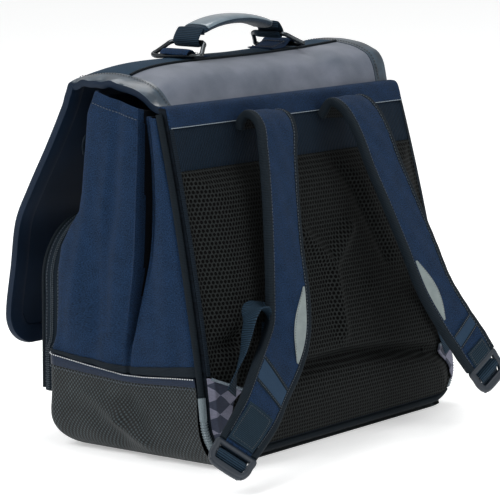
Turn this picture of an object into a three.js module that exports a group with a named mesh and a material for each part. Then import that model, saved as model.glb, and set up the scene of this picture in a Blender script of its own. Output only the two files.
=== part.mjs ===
import * as THREE from 'three';

// School satchel backpack, in millimetres, +Z up. The origin is the centre of the flat base.
// The padded back faces +Y, the open flap hangs down the -Y side, +X is the wearer's right.

// Driving sizes of the body
const BODY_WIDTH = 380;
const TOP_WIDTH = 355;
const BODY_DEPTH = 200;
const BACK_HEIGHT = 312;
const BACK_LEAN = 66;
const BACK_CURVE = 1.3;
const PLEAT_DEPTH = 44;
const BOOT_HEIGHT = 61;
const BOOT_SIDE_RADIUS = 35;
const BOOT_FRONT_RADIUS = 28;
const BOOT_CORNER_RADIUS = 9;
// The loaded bag stands on its soft bottom, LIFT below the back panel's foot, and leans to the
// left by a small angle. Its lower edges stay level with the floor up to SAG_HEIGHT.
const LIFT = 7.5;
const LEAN_ANGLE = 1.5;
const SAG_HEIGHT = 60;

// Walls and gaps
const GAP = 0.3;
const CLOTH = 2;
const BOOT_WALL = 3;
const SLAB = 8;
const SEAM_TUCK = 8;
const FACING_WALL = 2.5;
const YOKE_WALL = 2;
const EDGING_WALL = 2.6;
const GORE_WALL = 2;
const PIPING_RADIUS = 3.2;
const TUBE_RADIUS = 3.7;

// Back panel layout
const FACING_HEIGHT = 18;
const YOKE_HEIGHT = 38;
const EDGING_WIDTH = 8;
const PAD_THICKNESS = 17;
const PAD_EDGE = 2.5;
const PAD_FOOT = 7;

// Flap
const FLAP_WIDTH = 340;
const FLAP_WALL = 3;
const LINING_WALL = 1.5;
const LINING_GAP = 1;
const BINDING_WIDTH = 17;
const BINDING_PROUD = 0.8;
const FLAP_CORNER_RADIUS = 30;
const LOWER_PANEL_WALL = 4.5;

// Handle
const HANDLE_X = -12;
const HANDLE_SPAN = 156;
const HANDLE_HEIGHT = 37;
const HANDLE_DROP = 8;
const GRIP_WIDTH = 30;
const GRIP_THICKNESS = 8;
const GRIP_TOP_WALL = 1.2;
const RING_BASE = 62;
const RING_TOP = 40;
const RING_WIRE = 2.2;
const WEB_WALL = 2;

// Shoulder straps
const STRAP_WIDTH = 51;
const STRAP_THICKNESS = 7;
const STRAP_LINING = 2.2;
const STRAP_BINDING = 7;
const STRAP_TRIM_WALL = 0.9;
const REFLECTOR_WIDTH = 13;
const WEBBING_WIDTH = 27;
const BUCKLE_WIDTH = 42;
const BUCKLE_LENGTH = 30;
const BUCKLE_THICKNESS = 5;
const BUCKLE_OFFSET = 0.4;

// Front pocket
const POCKET_WIDTH = 356;
const POCKET_FOOT = 38;
const POCKET_TOP = 202;
const POCKET_DEPTH = 26;
const POCKET_RADIUS = 60;
const POCKET_DOME = 6;
const ZIP_WIDTH = 19;
const ZIP_WALL = 1.6;
const POCKET_PIPING_RADIUS = 2;

// Edges of the trim round the boot from the front to the back. The place is a share of
// BODY_DEPTH, and base and top are shares of BOOT_HEIGHT.
const TRIM_LINE = [
  { place: -0.52, base: 1.08, top: 1.26 },
  { place: -0.25, base: 1.02, top: 1.16 },
  { place: -0.02, base: 0.98, top: 1.09 },
  { place: 0.10, base: 0.99, top: 1.10 },
  { place: 0.28, base: 1.03, top: 1.15 },
  { place: 0.46, base: 1.06, top: 1.19 },
];

// Side profile of the gusset. Heights are shares of BACK_HEIGHT, folds and edge are places
// along Y as shares of BODY_DEPTH, and the pleat is a share of PLEAT_DEPTH.
const GUSSET = [
  { height: 0.24, rearFold: 0.022, frontFold: -0.018, frontEdge: -0.484, pleat: 0.06, bulge: 0.2 },
  { height: 0.30, rearFold: 0.024, frontFold: -0.012, frontEdge: -0.455, pleat: 0.12, bulge: 0.6 },
  { height: 0.35, rearFold: 0.048, frontFold: 0.008, frontEdge: -0.452, pleat: 0.45, bulge: 0.9 },
  { height: 0.41, rearFold: 0.072, frontFold: 0.022, frontEdge: -0.450, pleat: 0.80, bulge: 1.0 },
  { height: 0.50, rearFold: 0.104, frontFold: 0.038, frontEdge: -0.452, pleat: 1.00, bulge: 1.0 },
  { height: 0.57, rearFold: 0.126, frontFold: 0.045, frontEdge: -0.435, pleat: 1.00, bulge: 0.9 },
  { height: 0.63, rearFold: 0.138, frontFold: 0.046, frontEdge: -0.385, pleat: 1.00, bulge: 0.8 },
  { height: 0.68, rearFold: 0.140, frontFold: 0.046, frontEdge: -0.325, pleat: 1.00, bulge: 0.7 },
  { height: 0.74, rearFold: 0.138, frontFold: 0.045, frontEdge: -0.307, pleat: 1.00, bulge: 0.6 },
  { height: 0.85, rearFold: 0.122, frontFold: 0.044, frontEdge: -0.298, pleat: 1.00, bulge: 0.5 },
  { height: 0.97, rearFold: 0.086, frontFold: 0.042, frontEdge: -0.284, pleat: 1.00, bulge: 0.4 },
  { height: 1.05, rearFold: 0.070, frontFold: 0.040, frontEdge: -0.230, pleat: 1.00, bulge: 0.3 },
];

// Fold lines across the gusset, from the back to the front. Between two folds a line sits at a
// share of the way, stands out by a share of GUSSET_BULGE and ends at a share of BACK_HEIGHT.
const GUSSET_BULGE = 6;
const GUSSET_LINES = [
  { from: 'rear', to: 'rearFold', share: 0, out: 0, sunk: 0, tuck: 0.42, top: 0.972 },
  { from: 'rear', to: 'rearFold', share: 0.1, out: 0, sunk: 0, tuck: 0, top: 0.972 },
  { from: 'rear', to: 'rearFold', share: 0.5, out: 0.3, sunk: 0, tuck: 0, top: 0.972 },
  { from: 'rear', to: 'rearFold', share: 1, out: 0, sunk: 0, tuck: 0, top: 0.975 },
  { from: 'rearFold', to: 'frontFold', share: 0.35, out: 0, sunk: 0.96, tuck: 0, top: 0.970 },
  { from: 'rearFold', to: 'frontFold', share: 0.65, out: 0, sunk: 1, tuck: 0, top: 0.970 },
  { from: 'rearFold', to: 'frontFold', share: 1, out: 0.2, sunk: 0, tuck: 0, top: 0.995 },
  { from: 'frontFold', to: 'frontEdge', share: 0.22, out: 0.9, sunk: 0, tuck: 0, top: 1.006 },
  { from: 'frontFold', to: 'frontEdge', share: 0.42, out: 0.1, sunk: 0, tuck: 0, top: 1.014 },
  { from: 'frontFold', to: 'frontEdge', share: 0.66, out: 1, sunk: 0, tuck: 0, top: 1.024 },
  { from: 'frontFold', to: 'frontEdge', share: 0.88, out: 0.5, sunk: 0, tuck: 0, top: 1.034 },
  { from: 'frontFold', to: 'frontEdge', share: 1, out: -0.3, sunk: 0, tuck: 0, top: 1.038 },
  { from: 'frontFold', to: 'frontEdge', share: 1, out: -0.3, sunk: 0, tuck: 0.72, top: 1.038 },
];

// Flap profile from the seam on the back panel, over the top and down the front. The place is a
// share of BODY_DEPTH along Y; near, middle and far are heights at the +X edge, the middle and
// the -X edge, as shares of BACK_HEIGHT.
const FLAP = [
  { place: 0.125, near: 1.002, middle: 1.002, far: 1.003 },
  { place: 0.105, near: 1.004, middle: 1.026, far: 1.058 },
  { place: 0.075, near: 1.012, middle: 1.064, far: 1.088 },
  { place: 0.035, near: 1.030, middle: 1.085, far: 1.102 },
  { place: -0.030, near: 1.048, middle: 1.098, far: 1.116 },
  { place: -0.125, near: 1.060, middle: 1.106, far: 1.124 },
  { place: -0.200, near: 1.065, middle: 1.110, far: 1.125 },
  { place: -0.290, near: 1.063, middle: 1.108, far: 1.121 },
  { place: -0.380, near: 1.056, middle: 1.095, far: 1.104 },
  { place: -0.422, near: 1.054, middle: 1.078, far: 1.088 },
  { place: -0.446, near: 1.024, middle: 1.040, far: 1.048 },
  { place: -0.482, near: 0.970, middle: 0.974, far: 0.978 },
  { place: -0.572, near: 0.862, middle: 0.862, far: 0.862 },
  { place: -0.698, near: 0.722, middle: 0.722, far: 0.722 },
  { place: -0.778, near: 0.618, middle: 0.618, far: 0.618 },
  { place: -0.812, near: 0.480, middle: 0.480, far: 0.480 },
  { place: -0.843, near: 0.362, middle: 0.362, far: 0.362 },
  { place: -0.846, near: 0.290, middle: 0.290, far: 0.290 },
  { place: -0.838, near: 0.232, middle: 0.232, far: 0.232 },
];
const FLAP_ROPE_ROW = 5;
const FLAP_CORNER_ROW = 9;
const FLAP_STEP_ROW = 14;
const FLAP_DROOP_POWER = 6;
const FLAP_LIFT_POWER = 2;

// Centre lines of the shoulder straps from the root seam to the tip. Places are shares: x of
// BODY_WIDTH, out of STRAP_REACH away from the back panel, z of BACK_HEIGHT. turn and tilt aim
// the width of the strap, in degrees, and width is a share of STRAP_WIDTH.
const STRAP_REACH = 100;
const RIGHT_STRAP = [
  { x: 0.159, out: 0.045, z: 0.926, turn: 0, tilt: 0, width: 1 },
  { x: 0.160, out: 0.090, z: 0.948, turn: 1, tilt: 1, width: 1 },
  { x: 0.161, out: 0.180, z: 0.963, turn: 3, tilt: 3, width: 1 },
  { x: 0.166, out: 0.277, z: 0.956, turn: 3, tilt: 3, width: 1 },
  { x: 0.176, out: 0.345, z: 0.924, turn: 0, tilt: 2, width: 1 },
  { x: 0.192, out: 0.364, z: 0.865, turn: -3, tilt: 0, width: 1 },
  { x: 0.206, out: 0.369, z: 0.790, turn: -4, tilt: 0, width: 1 },
  { x: 0.218, out: 0.369, z: 0.721, turn: -4, tilt: 0, width: 1 },
  { x: 0.232, out: 0.344, z: 0.580, turn: 0, tilt: 2, width: 1 },
  { x: 0.244, out: 0.334, z: 0.452, turn: 9, tilt: 6, width: 1 },
  { x: 0.268, out: 0.349, z: 0.356, turn: 14, tilt: 18, width: 1 },
  { x: 0.316, out: 0.382, z: 0.292, turn: 20, tilt: 33, width: 1 },
  { x: 0.400, out: 0.464, z: 0.224, turn: 35, tilt: 50, width: 0.95 },
  { x: 0.478, out: 0.535, z: 0.154, turn: 50, tilt: 47, width: 0.86 },
  { x: 0.582, out: 0.590, z: 0.076, turn: 68, tilt: 40, width: 0.76 },
];
const LEFT_STRAP = [
  { x: -0.158, out: 0.045, z: 0.926, turn: 0, tilt: 0, width: 1 },
  { x: -0.161, out: 0.190, z: 0.973, turn: 0, tilt: 0, width: 1 },
  { x: -0.159, out: 0.340, z: 0.955, turn: 0, tilt: 0, width: 1 },
  { x: -0.157, out: 0.450, z: 0.889, turn: 0, tilt: 0, width: 1 },
  { x: -0.155, out: 0.530, z: 0.787, turn: 0, tilt: 0, width: 1 },
  { x: -0.160, out: 0.615, z: 0.684, turn: 0, tilt: 0, width: 1 },
  { x: -0.174, out: 0.700, z: 0.550, turn: 0, tilt: 0, width: 1 },
  { x: -0.192, out: 0.755, z: 0.430, turn: 0, tilt: -2, width: 1 },
  { x: -0.221, out: 0.833, z: 0.330, turn: 2, tilt: -4, width: 0.98 },
  { x: -0.249, out: 0.895, z: 0.258, turn: 5, tilt: -6, width: 0.92 },
  { x: -0.278, out: 0.930, z: 0.196, turn: 8, tilt: -8, width: 0.82 },
];

// Adjusting webbing from the gore up to its loop: x of BODY_WIDTH, out of STRAP_REACH, z of
// BACK_HEIGHT. From the last row on it runs back down the inner side of the strap.
const RIGHT_WEBBING = [
  { x: 0.462, out: 0.225, z: 0.198, turn: 10 },
  { x: 0.434, out: 0.220, z: 0.250, turn: 10 },
  { x: 0.399, out: 0.222, z: 0.308, turn: 9 },
  { x: 0.374, out: 0.226, z: 0.362, turn: 6 },
  { x: 0.354, out: 0.230, z: 0.402, turn: 2 },
  { x: 0.333, out: 0.232, z: 0.424, turn: 0 },
  { x: 0.308, out: 0.236, z: 0.420, turn: 0 },
  { x: 0.288, out: 0.242, z: 0.396, turn: 5 },
];
const LEFT_WEBBING = [
  { x: -0.444, out: 0.165, z: 0.185, turn: 0 },
  { x: -0.410, out: 0.220, z: 0.250, turn: 0 },
  { x: -0.365, out: 0.280, z: 0.330, turn: 0 },
  { x: -0.320, out: 0.350, z: 0.400, turn: 0 },
  { x: -0.292, out: 0.430, z: 0.445, turn: 0 },
  { x: -0.268, out: 0.520, z: 0.450, turn: 0 },
  { x: -0.250, out: 0.590, z: 0.410, turn: 0 },
];

// Raised and sunk lines moulded in the mesh pad, right half. x is a share of half the width,
// z of BACK_HEIGHT, reach of PAD_THICKNESS across the line and rise of PAD_THICKNESS.
const PAD_LINES = [
  { x0: 0, z0: 0.30, x1: 0, z1: 0.50, reach: 0.45, rise: 0.20 },
  { x0: 0, z0: 0.50, x1: 0.18, z1: 0.60, reach: 0.45, rise: 0.20 },
  { x0: 0.17, z0: 0.83, x1: 0.30, z1: 0.71, reach: 0.6, rise: -0.22 },
  { x0: 0.30, z0: 0.71, x1: 0.46, z1: 0.50, reach: 0.6, rise: -0.22 },
  { x0: 0, z0: 0.225, x1: 0.36, z1: 0.215, reach: 0.5, rise: -0.40 },
  { x0: 0.36, z0: 0.215, x1: 0.68, z1: 0.185, reach: 0.5, rise: -0.40 },
  { x0: 0.68, z0: 0.185, x1: 0.90, z1: 0.15, reach: 0.5, rise: -0.35 },
  { x0: 0.76, z0: 0.335, x1: 0.98, z1: 0.305, reach: 0.6, rise: -0.35 },
];

// Plain maths

const mix = (a, b, t) => a + (b - a) * t;
const clamp = (v, low, high) => Math.min(high, Math.max(low, v));
const smooth = (t) => t * t * (3 - 2 * t);
const steps = (count) => Array.from({ length: count + 1 }, (unused, i) => i / count);
const backHeights = (low, high, count) => steps(count).map((t) => mix(low, high, t));

// Value of a named column at a place along another column that grows from row to row
function lookUp(table, along, at, column) {
  const last = table.length - 1;
  const i = clamp(table.findIndex((row) => row[along] > at) - 1, 0, last - 1);
  const row = at >= table[last][along] ? last - 1 : i;
  const t = clamp((at - table[row][along]) / (table[row + 1][along] - table[row][along]), 0, 1);
  return mix(table[row][column], table[row + 1][column], t);
}

// Smooth value of a column at a fractional row
function between(table, row, column) {
  const last = table.length - 1;
  const i = clamp(Math.floor(row), 0, last - 1);
  const t = row - i;
  const value = (k) => table[clamp(k, 0, last)][column];
  const [a, b, c, d] = [value(i - 1), value(i), value(i + 1), value(i + 2)];
  return b + 0.5 * t * (c - a + t * (2 * a - 5 * b + 4 * c - d + t * (3 * (b - c) + d - a)));
}

// Building of closed solids

function closedMesh(name, material, points, triangles) {
  const positions = points.flatMap((p) => [p.x, p.y, p.z]);
  let volume = 0;
  for (const [a, b, c] of triangles) {
    volume += points[a].dot(new THREE.Vector3().crossVectors(points[b], points[c]));
  }
  const turned = volume < 0 ? triangles.map(([a, b, c]) => [a, c, b]) : triangles;
  const geometry = new THREE.BufferGeometry();
  geometry.setAttribute('position', new THREE.Float32BufferAttribute(positions, 3));
  geometry.setIndex(turned.flat());
  geometry.computeVertexNormals();
  const mesh = new THREE.Mesh(geometry, material);
  mesh.name = name;
  return mesh;
}

// Skin through rings of equally many points, with a flat fan on both ends or none if it loops
function skin(name, material, rings, loops = false) {
  const count = rings[0].length;
  const points = rings.flat();
  const triangles = [];
  const spans = loops ? rings.length : rings.length - 1;
  for (let r = 0; r < spans; r += 1) {
    const next = (r + 1) % rings.length;
    for (let k = 0; k < count; k += 1) {
      const [a, b] = [r * count + k, r * count + ((k + 1) % count)];
      const [c, d] = [next * count + k, next * count + ((k + 1) % count)];
      if (k < count / 2) triangles.push([a, b, d], [a, d, c]);
      else triangles.push([a, b, c], [b, d, c]);
    }
  }
  if (!loops) {
    for (const [ring, flip] of [[0, true], [rings.length - 1, false]]) {
      const centre = new THREE.Vector3();
      rings[ring].forEach((p) => centre.addScaledVector(p, 1 / count));
      points.push(centre);
      const middle = points.length - 1;
      for (let k = 0; k < count; k += 1) {
        const [a, b] = [ring * count + k, ring * count + ((k + 1) % count)];
        triangles.push(flip ? [a, middle, b] : [a, b, middle]);
      }
    }
  }
  return closedMesh(name, material, points, triangles);
}

function gridNormals(grid) {
  const rows = grid.length;
  const columns = grid[0].length;
  const side = (a, b) => new THREE.Vector3().subVectors(b, a);
  return grid.map((line, i) => line.map((p, j) => {
    const [down, up] = [grid[Math.max(i - 1, 0)][j], grid[Math.min(i + 1, rows - 1)][j]];
    const before = grid[i][Math.max(j - 1, 0)];
    const after = grid[i][Math.min(j + 1, columns - 1)];
    const along = side(down, up);
    const first = new THREE.Vector3().crossVectors(j > 0 ? side(before, p) : side(p, after), along);
    const second = new THREE.Vector3()
      .crossVectors(j < columns - 1 ? side(p, after) : side(before, p), along);
    const sum = first.normalize().add(second.normalize());
    return sum.normalize();
  }));
}

// Sheet of a wall's thickness. grid holds rows of points on its outer face. The other face lies
// a wall away along the grid's normals, or against them when the wall is negative.
function sheet(name, material, grid, wall) {
  const rows = grid.length;
  const columns = grid[0].length;
  const normals = gridNormals(grid);
  const outer = grid.flat();
  const inner = grid.flatMap((line, i) => line
    .map((p, j) => p.clone().addScaledVector(normals[i][j], wall)));
  const at = (i, j) => i * columns + j;
  const shift = rows * columns;
  const triangles = [];
  for (let i = 0; i < rows - 1; i += 1) {
    for (let j = 0; j < columns - 1; j += 1) {
      const [a, b, c, d] = [at(i, j), at(i, j + 1), at(i + 1, j), at(i + 1, j + 1)];
      triangles.push([a, b, d], [a, d, c]);
      triangles.push([shift + a, shift + d, shift + b], [shift + a, shift + c, shift + d]);
    }
  }
  const edge = [];
  for (let j = 0; j < columns - 1; j += 1) edge.push(at(0, j));
  for (let i = 0; i < rows - 1; i += 1) edge.push(at(i, columns - 1));
  for (let j = columns - 1; j > 0; j -= 1) edge.push(at(rows - 1, j));
  for (let i = rows - 1; i > 0; i -= 1) edge.push(at(i, 0));
  edge.forEach((a, k) => {
    const b = edge[(k + 1) % edge.length];
    triangles.push([a, shift + a, shift + b], [a, shift + b, b]);
  });
  return closedMesh(name, material, [...outer, ...inner], triangles);
}

const gridOf = (rows, columns, pointAt) => rows.map((v) => columns.map((u) => pointAt(u, v)));
const mirrored = (grid) => grid.map((line) => line.map((p) => new THREE.Vector3(-p.x, p.y, p.z)));

// Round bar along a list of points
function bar(name, material, path, radius, sides = 8, loops = false) {
  const last = path.length - 1;
  const upright = new THREE.Vector3(0, 1, 0);
  const rings = path.map((p, i) => {
    const before = path[loops ? (i + last) % path.length : Math.max(i - 1, 0)];
    const after = path[loops ? (i + 1) % path.length : Math.min(i + 1, last)];
    const along = new THREE.Vector3().subVectors(after, before).normalize();
    const across = new THREE.Vector3().crossVectors(upright, along);
    if (across.lengthSq() < 0.04) across.set(1, 0, 0);
    across.normalize();
    const over = new THREE.Vector3().crossVectors(along, across).normalize();
    return Array.from({ length: sides }, (unused, k) => {
      const angle = (2 * Math.PI * (k + 0.5)) / sides;
      return p.clone()
        .addScaledVector(across, radius * Math.cos(angle))
        .addScaledVector(over, radius * Math.sin(angle));
    });
  });
  return skin(name, material, rings, loops);
}

const finish = (color, roughness, metalness = 0) => new THREE.MeshStandardMaterial({
  color, roughness, metalness,
});
const navyCloth = () => finish(0x22385a, 0.85);
const darkBinding = () => finish(0x232f38, 0.7);
const ballisticCloth = () => finish(0x2b2f33, 0.9);
const airMesh = () => finish(0x1c1e1f, 0.95);
const greyCloth = () => finish(0x6a6f7c, 0.8);
const slateWebbing = () => finish(0x3a5468, 0.75);
const glossyTrim = () => finish(0x34495a, 0.35);
const hardPlastic = () => finish(0x2a3a4a, 0.4);
const reflectiveTape = () => finish(0x8f9c9e, 0.5);
const darkSteel = () => finish(0x3b3f42, 0.25, 1);

// Body outline

const halfWidth = (z) => mix(BODY_WIDTH, TOP_WIDTH, z / BACK_HEIGHT) / 2;
const lean = (z) => BACK_LEAN * Math.max(z / BACK_HEIGHT, 0) ** BACK_CURVE;
const backY = (z) => BODY_DEPTH / 2 - lean(z);
// How far a rounded bottom edge of a radius draws in at a height
function roundIn(z, radius, foot = 0) {
  const rise = clamp((radius + foot - z) / radius, 0, 1);
  return radius * (1 - Math.sqrt(1 - rise * rise));
}
const gussetAt = (z, column) => lookUp(GUSSET, 'height', z / BACK_HEIGHT, column);
const foldY = (z, fold) => (fold === 'rear'
  ? backY(z) - SLAB - GAP
  : gussetAt(z, fold) * BODY_DEPTH);
const frontEdgeY = (z) => gussetAt(z, 'frontEdge') * BODY_DEPTH;

const leanAngle = THREE.MathUtils.degToRad(LEAN_ANGLE);
const floorZ = (x) => -(LIFT + x * Math.sin(leanAngle)) / Math.cos(leanAngle);
const sag = (x, z) => -x * Math.tan(leanAngle) * (1 - smooth(clamp(z / SAG_HEIGHT, 0, 1)));
const trimAt = (y, column) => lookUp(TRIM_LINE, 'place', y / BODY_DEPTH, column) * BOOT_HEIGHT;

// Outline of the boot round its front at a share of its height, drawn in by a wall. It runs
// from the rear left corner round the front to the rear right corner. At the foot the cloth
// reaches back under the binding of the back panel.
function bootPlan(share, wall, proud = 0, edge = 'base') {
  const full = BOOT_HEIGHT + LIFT;
  const height = share * full;
  const side = halfWidth(height) + proud - wall - roundIn(height, BOOT_SIDE_RADIUS - wall, wall);
  const front = -BODY_DEPTH / 2 - proud + wall + roundIn(height, BOOT_FRONT_RADIUS - wall, wall);
  const tongue = wall > 0 ? 0 : 5 * clamp(2.2 - height / 2, 0, 1) * Math.min(1, 0.6 + height / 4);
  const radius = BOOT_CORNER_RADIUS - wall + proud;
  const place = (x, y) => {
    const top = trimAt(y, edge) - (edge === 'base' ? GAP : 0);
    const z = mix(floorZ(x), top, share);
    return new THREE.Vector3(x, y, z);
  };
  const back = (x) => {
    const z = mix(floorZ(x), trimAt(BODY_DEPTH / 2, edge), share);
    return Math.min(backY(z), backY(0)) - SLAB - 1.5 - wall + tongue;
  };
  const corner = (sign, turn) => place(
    sign * (side - radius + radius * Math.sin(turn)),
    front + radius - radius * Math.cos(turn),
  );
  const turns = steps(3).map((t) => t * (Math.PI / 2));
  const sides = [0.8, 0.6, 0.4, 0.2].map((t) => mix(front + radius, back(side), t));
  return [
    place(-side, back(-side)),
    ...sides.map((y) => place(-side, y)),
    ...[...turns].reverse().map((turn) => corner(-1, turn)),
    place(0, front),
    ...turns.map((turn) => corner(1, turn)),
    ...[...sides].reverse().map((y) => place(side, y)),
    place(side, back(side)),
  ];
}

function baseBoot() {
  const shares = [0, 0.03, 0.06, 0.075, 0.15, 0.3, 0.5];
  const floor = BOOT_WALL / (BOOT_HEIGHT + LIFT);
  const rings = [
    ...shares.map((share) => bootPlan(share, 0)),
    bootPlan(1, 0),
    bootPlan(1, BOOT_WALL),
    ...[0.5, 0.3, 0.15].map((share) => bootPlan(share, BOOT_WALL)),
    bootPlan(floor, BOOT_WALL),
  ];
  return skin('base_boot', ballisticCloth(), rings);
}

const trimTop = (y) => trimAt(y, 'top');

function baseTrim() {
  const proud = 0.6;
  const outer = ['base', 'top'].map((edge) => bootPlan(1, 0, proud, edge));
  const inner = ['base', 'top'].map((edge) => bootPlan(1, BOOT_WALL - GAP, 0, edge));
  for (const line of [outer[0], inner[0]]) {
    line.forEach((p) => { p.z += 2 * GAP; });
  }
  return twoFaces('base_trim', navyCloth(), outer, inner);
}

// Side gusset: one cloth folded into a deep pleat between the two compartments
function gussetGrid() {
  const rows = steps(12);
  return gridOf(rows, GUSSET_LINES, (line, v) => {
    const lowY = mix(foldY(BOOT_HEIGHT, line.from), foldY(BOOT_HEIGHT, line.to), line.share);
    const z = mix(trimTop(lowY) + 5 * GAP, line.top * BACK_HEIGHT, v);
    const y = mix(foldY(z, line.from), foldY(z, line.to), line.share);
    const sunk = line.sunk * gussetAt(z, 'pleat') * PLEAT_DEPTH;
    const out = line.out * gussetAt(z, 'bulge') * GUSSET_BULGE;
    return new THREE.Vector3(halfWidth(z) + out - sunk - line.tuck * SEAM_TUCK, y, z);
  });
}

function gussets() {
  const grid = gussetGrid();
  return [
    sheet('gusset_right', navyCloth(), grid, CLOTH),
    sheet('gusset_left', navyCloth(), mirrored(grid), -CLOTH),
  ];
}

// Panel between the gussets, at a place along Y that may change with height
function crossPanel(name, material, heights, halfAt, placeAt, wall) {
  const grid = gridOf(heights, steps(2), (u, z) => {
    const half = halfAt(z);
    return new THREE.Vector3(mix(-half, half, u), placeAt(z), z);
  });
  return sheet(name, material, grid, wall);
}

const TUCK = 18;
const frontTrimTop = TRIM_LINE[0].top * BOOT_HEIGHT;
const innerFront = -BODY_DEPTH / 2 + BOOT_WALL + 2;
const frontPlace = (z) => (z < frontTrimTop ? innerFront : Math.max(frontEdgeY(z), innerFront));

function frontPanel() {
  const side = CLOTH + GAP + GUSSET_BULGE * 0.4;
  const half = (z) => halfWidth(z) - side - BOOT_WALL;
  const heights = [
    BOOT_HEIGHT - TUCK,
    frontTrimTop + GAP,
    ...backHeights(frontTrimTop + 8, 1.02 * BACK_HEIGHT, 14),
  ];
  return crossPanel('front_panel', navyCloth(), heights, half, frontPlace, -CLOTH);
}

function divider() {
  const low = BOOT_WALL + GAP;
  const top = 0.9 * BACK_HEIGHT;
  const half = (z) => halfWidth(z) - Math.max(gussetAt(z, 'pleat') * PLEAT_DEPTH, 2 * BOOT_WALL)
    - CLOTH - 9 * GAP - roundIn(z, BOOT_SIDE_RADIUS);
  const place = (z) => mix(foldY(z, 'rearFold'), foldY(z, 'frontFold'), 0.5) + CLOTH / 2;
  return crossPanel('divider', navyCloth(), backHeights(low, top, 10), half, place, -CLOTH);
}

// Back

const CORNER_RADIUS = 38;
// How far an outline set in by a width lies from the side at a height, with a round corner
function edgeInset(z, width) {
  if (z >= CORNER_RADIUS) return width;
  const radius = CORNER_RADIUS - width;
  const rise = Math.min(CORNER_RADIUS - z, radius);
  return CORNER_RADIUS - Math.sqrt(radius * radius - rise * rise);
}
const pipingInset = 0.5;
const slabInset = pipingInset + TUBE_RADIUS + 2 * GAP;
const onBack = (x, depth, z) => new THREE.Vector3(x, backY(z) + depth, z + sag(x, z));

// Patch that lies on the back panel between two heights and two half widths
function backPatch(name, material, options) {
  const { low, high, rows, left, right, columns, liftAt, wallAt } = options;
  const face = (depthAt) => backHeights(low, high, rows).map((z) => steps(columns).map((u) => {
    const x = mix(left(z), right(z), u);
    return onBack(x, depthAt(x, z), z);
  }));
  return twoFaces(
    name,
    material,
    face((x, z) => liftAt(x, z) + wallAt(x, z)),
    face((x, z) => liftAt(x, z)),
  );
}

// Solid between two grids of the same size
function twoFaces(name, material, outer, inner) {
  const rings = outer.map((line, i) => [...line, ...[...inner[i]].reverse()]);
  const count = rings[0].length;
  const points = rings.flat();
  const triangles = [];
  for (let r = 0; r < rings.length - 1; r += 1) {
    for (let k = 0; k < count; k += 1) {
      const [a, b] = [r * count + k, r * count + ((k + 1) % count)];
      triangles.push([a, b, b + count], [a, b + count, a + count]);
    }
  }
  const half = count / 2;
  for (const [start, flip] of [[0, true], [(rings.length - 1) * count, false]]) {
    for (let k = 0; k < half - 1; k += 1) {
      const [a, b] = [start + k, start + k + 1];
      const [c, d] = [start + count - 1 - k, start + count - 2 - k];
      triangles.push(flip ? [a, d, b] : [a, b, d], flip ? [a, c, d] : [a, d, c]);
    }
  }
  return closedMesh(name, material, points, triangles);
}

function backPanel() {
  const half = (z) => halfWidth(z) - edgeInset(z, slabInset);
  const low = [0, 0.08, 0.22, 0.5, 1].map((t) => mix(slabInset, CORNER_RADIUS, t));
  const heights = [...low, ...backHeights(mix(low[4], BACK_HEIGHT, 0.1), BACK_HEIGHT, 9)];
  const face = (depth) => gridOf(heights, steps(4), (u, z) => onBack(
    mix(-half(z), half(z), u),
    -depth,
    z,
  ));
  return twoFaces('back_panel', navyCloth(), face(0), face(SLAB));
}

// Line of the piping on the edge of the back, by height on the side and by angle on the corner
const TUBE_TOP = 56;
const TUBE_END_ANGLE = 47;
const BINDING_ANGLE = 52;
const pipingDepth = SLAB / 2;
function cornerPoint(angle) {
  const turn = THREE.MathUtils.degToRad(angle);
  const radius = CORNER_RADIUS - pipingInset;
  const z = CORNER_RADIUS - radius * Math.sin(turn);
  return [halfWidth(z) - CORNER_RADIUS + radius * Math.cos(turn), -pipingDepth, z];
}
const bothSides = (sign, points) => points.map(([x, depth, z]) => onBack(sign * x, depth, z));

function backEdges() {
  const side = backHeights(TUBE_TOP + GAP, 0.985 * BACK_HEIGHT, 9)
    .map((z) => [halfWidth(z) - pipingInset, -pipingDepth, z]);
  const tube = [
    ...[TUBE_TOP, mix(TUBE_TOP, CORNER_RADIUS, 0.5)]
      .map((z) => [halfWidth(z) - pipingInset, -pipingDepth, z]),
    ...[0, 0.2, 0.4, 0.6, 0.8, 1].map((t) => cornerPoint(t * TUBE_END_ANGLE)),
  ];
  const corner = [0, 0.25, 0.5, 0.75, 1].map((t) => cornerPoint(mix(BINDING_ANGLE, 90, t)));
  const foot = [
    ...bothSides(1, corner),
    ...bothSides(1, [[0.5 * corner[4][0], -pipingDepth, corner[4][2]]]),
    ...bothSides(-1, [[0.5 * corner[4][0], -pipingDepth, corner[4][2]]]),
    ...bothSides(-1, [...corner].reverse()),
  ];
  return [
    bar('back_piping_right', darkBinding(), bothSides(1, side), PIPING_RADIUS),
    bar('back_piping_left', darkBinding(), bothSides(-1, side), PIPING_RADIUS),
    bar('corner_tube_right', reflectiveTape(), bothSides(1, tube), TUBE_RADIUS, 10),
    bar('corner_tube_left', reflectiveTape(), bothSides(-1, tube), TUBE_RADIUS, 10),
    bar('bottom_binding', darkBinding(), foot, TUBE_RADIUS),
  ];
}

// Height of the moulded lines over the pad at a place
function padRelief(x, z) {
  const across = Math.abs(x) / (BODY_WIDTH / 2);
  let rise = 0;
  for (const line of PAD_LINES) {
    const start = new THREE.Vector2(line.x0 * BODY_WIDTH / 2, line.z0 * BACK_HEIGHT);
    const end = new THREE.Vector2(line.x1 * BODY_WIDTH / 2, line.z1 * BACK_HEIGHT);
    const run = end.clone().sub(start);
    const point = new THREE.Vector2(across * BODY_WIDTH / 2, z).sub(start);
    const t = clamp(point.dot(run) / run.lengthSq(), 0, 1);
    const distance = point.addScaledVector(run, -t).length() / (line.reach * PAD_THICKNESS);
    const share = line.rise * Math.exp(-distance * distance);
    rise = Math.abs(share) > Math.abs(rise) ? share : rise;
  }
  return rise * PAD_THICKNESS;
}

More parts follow.
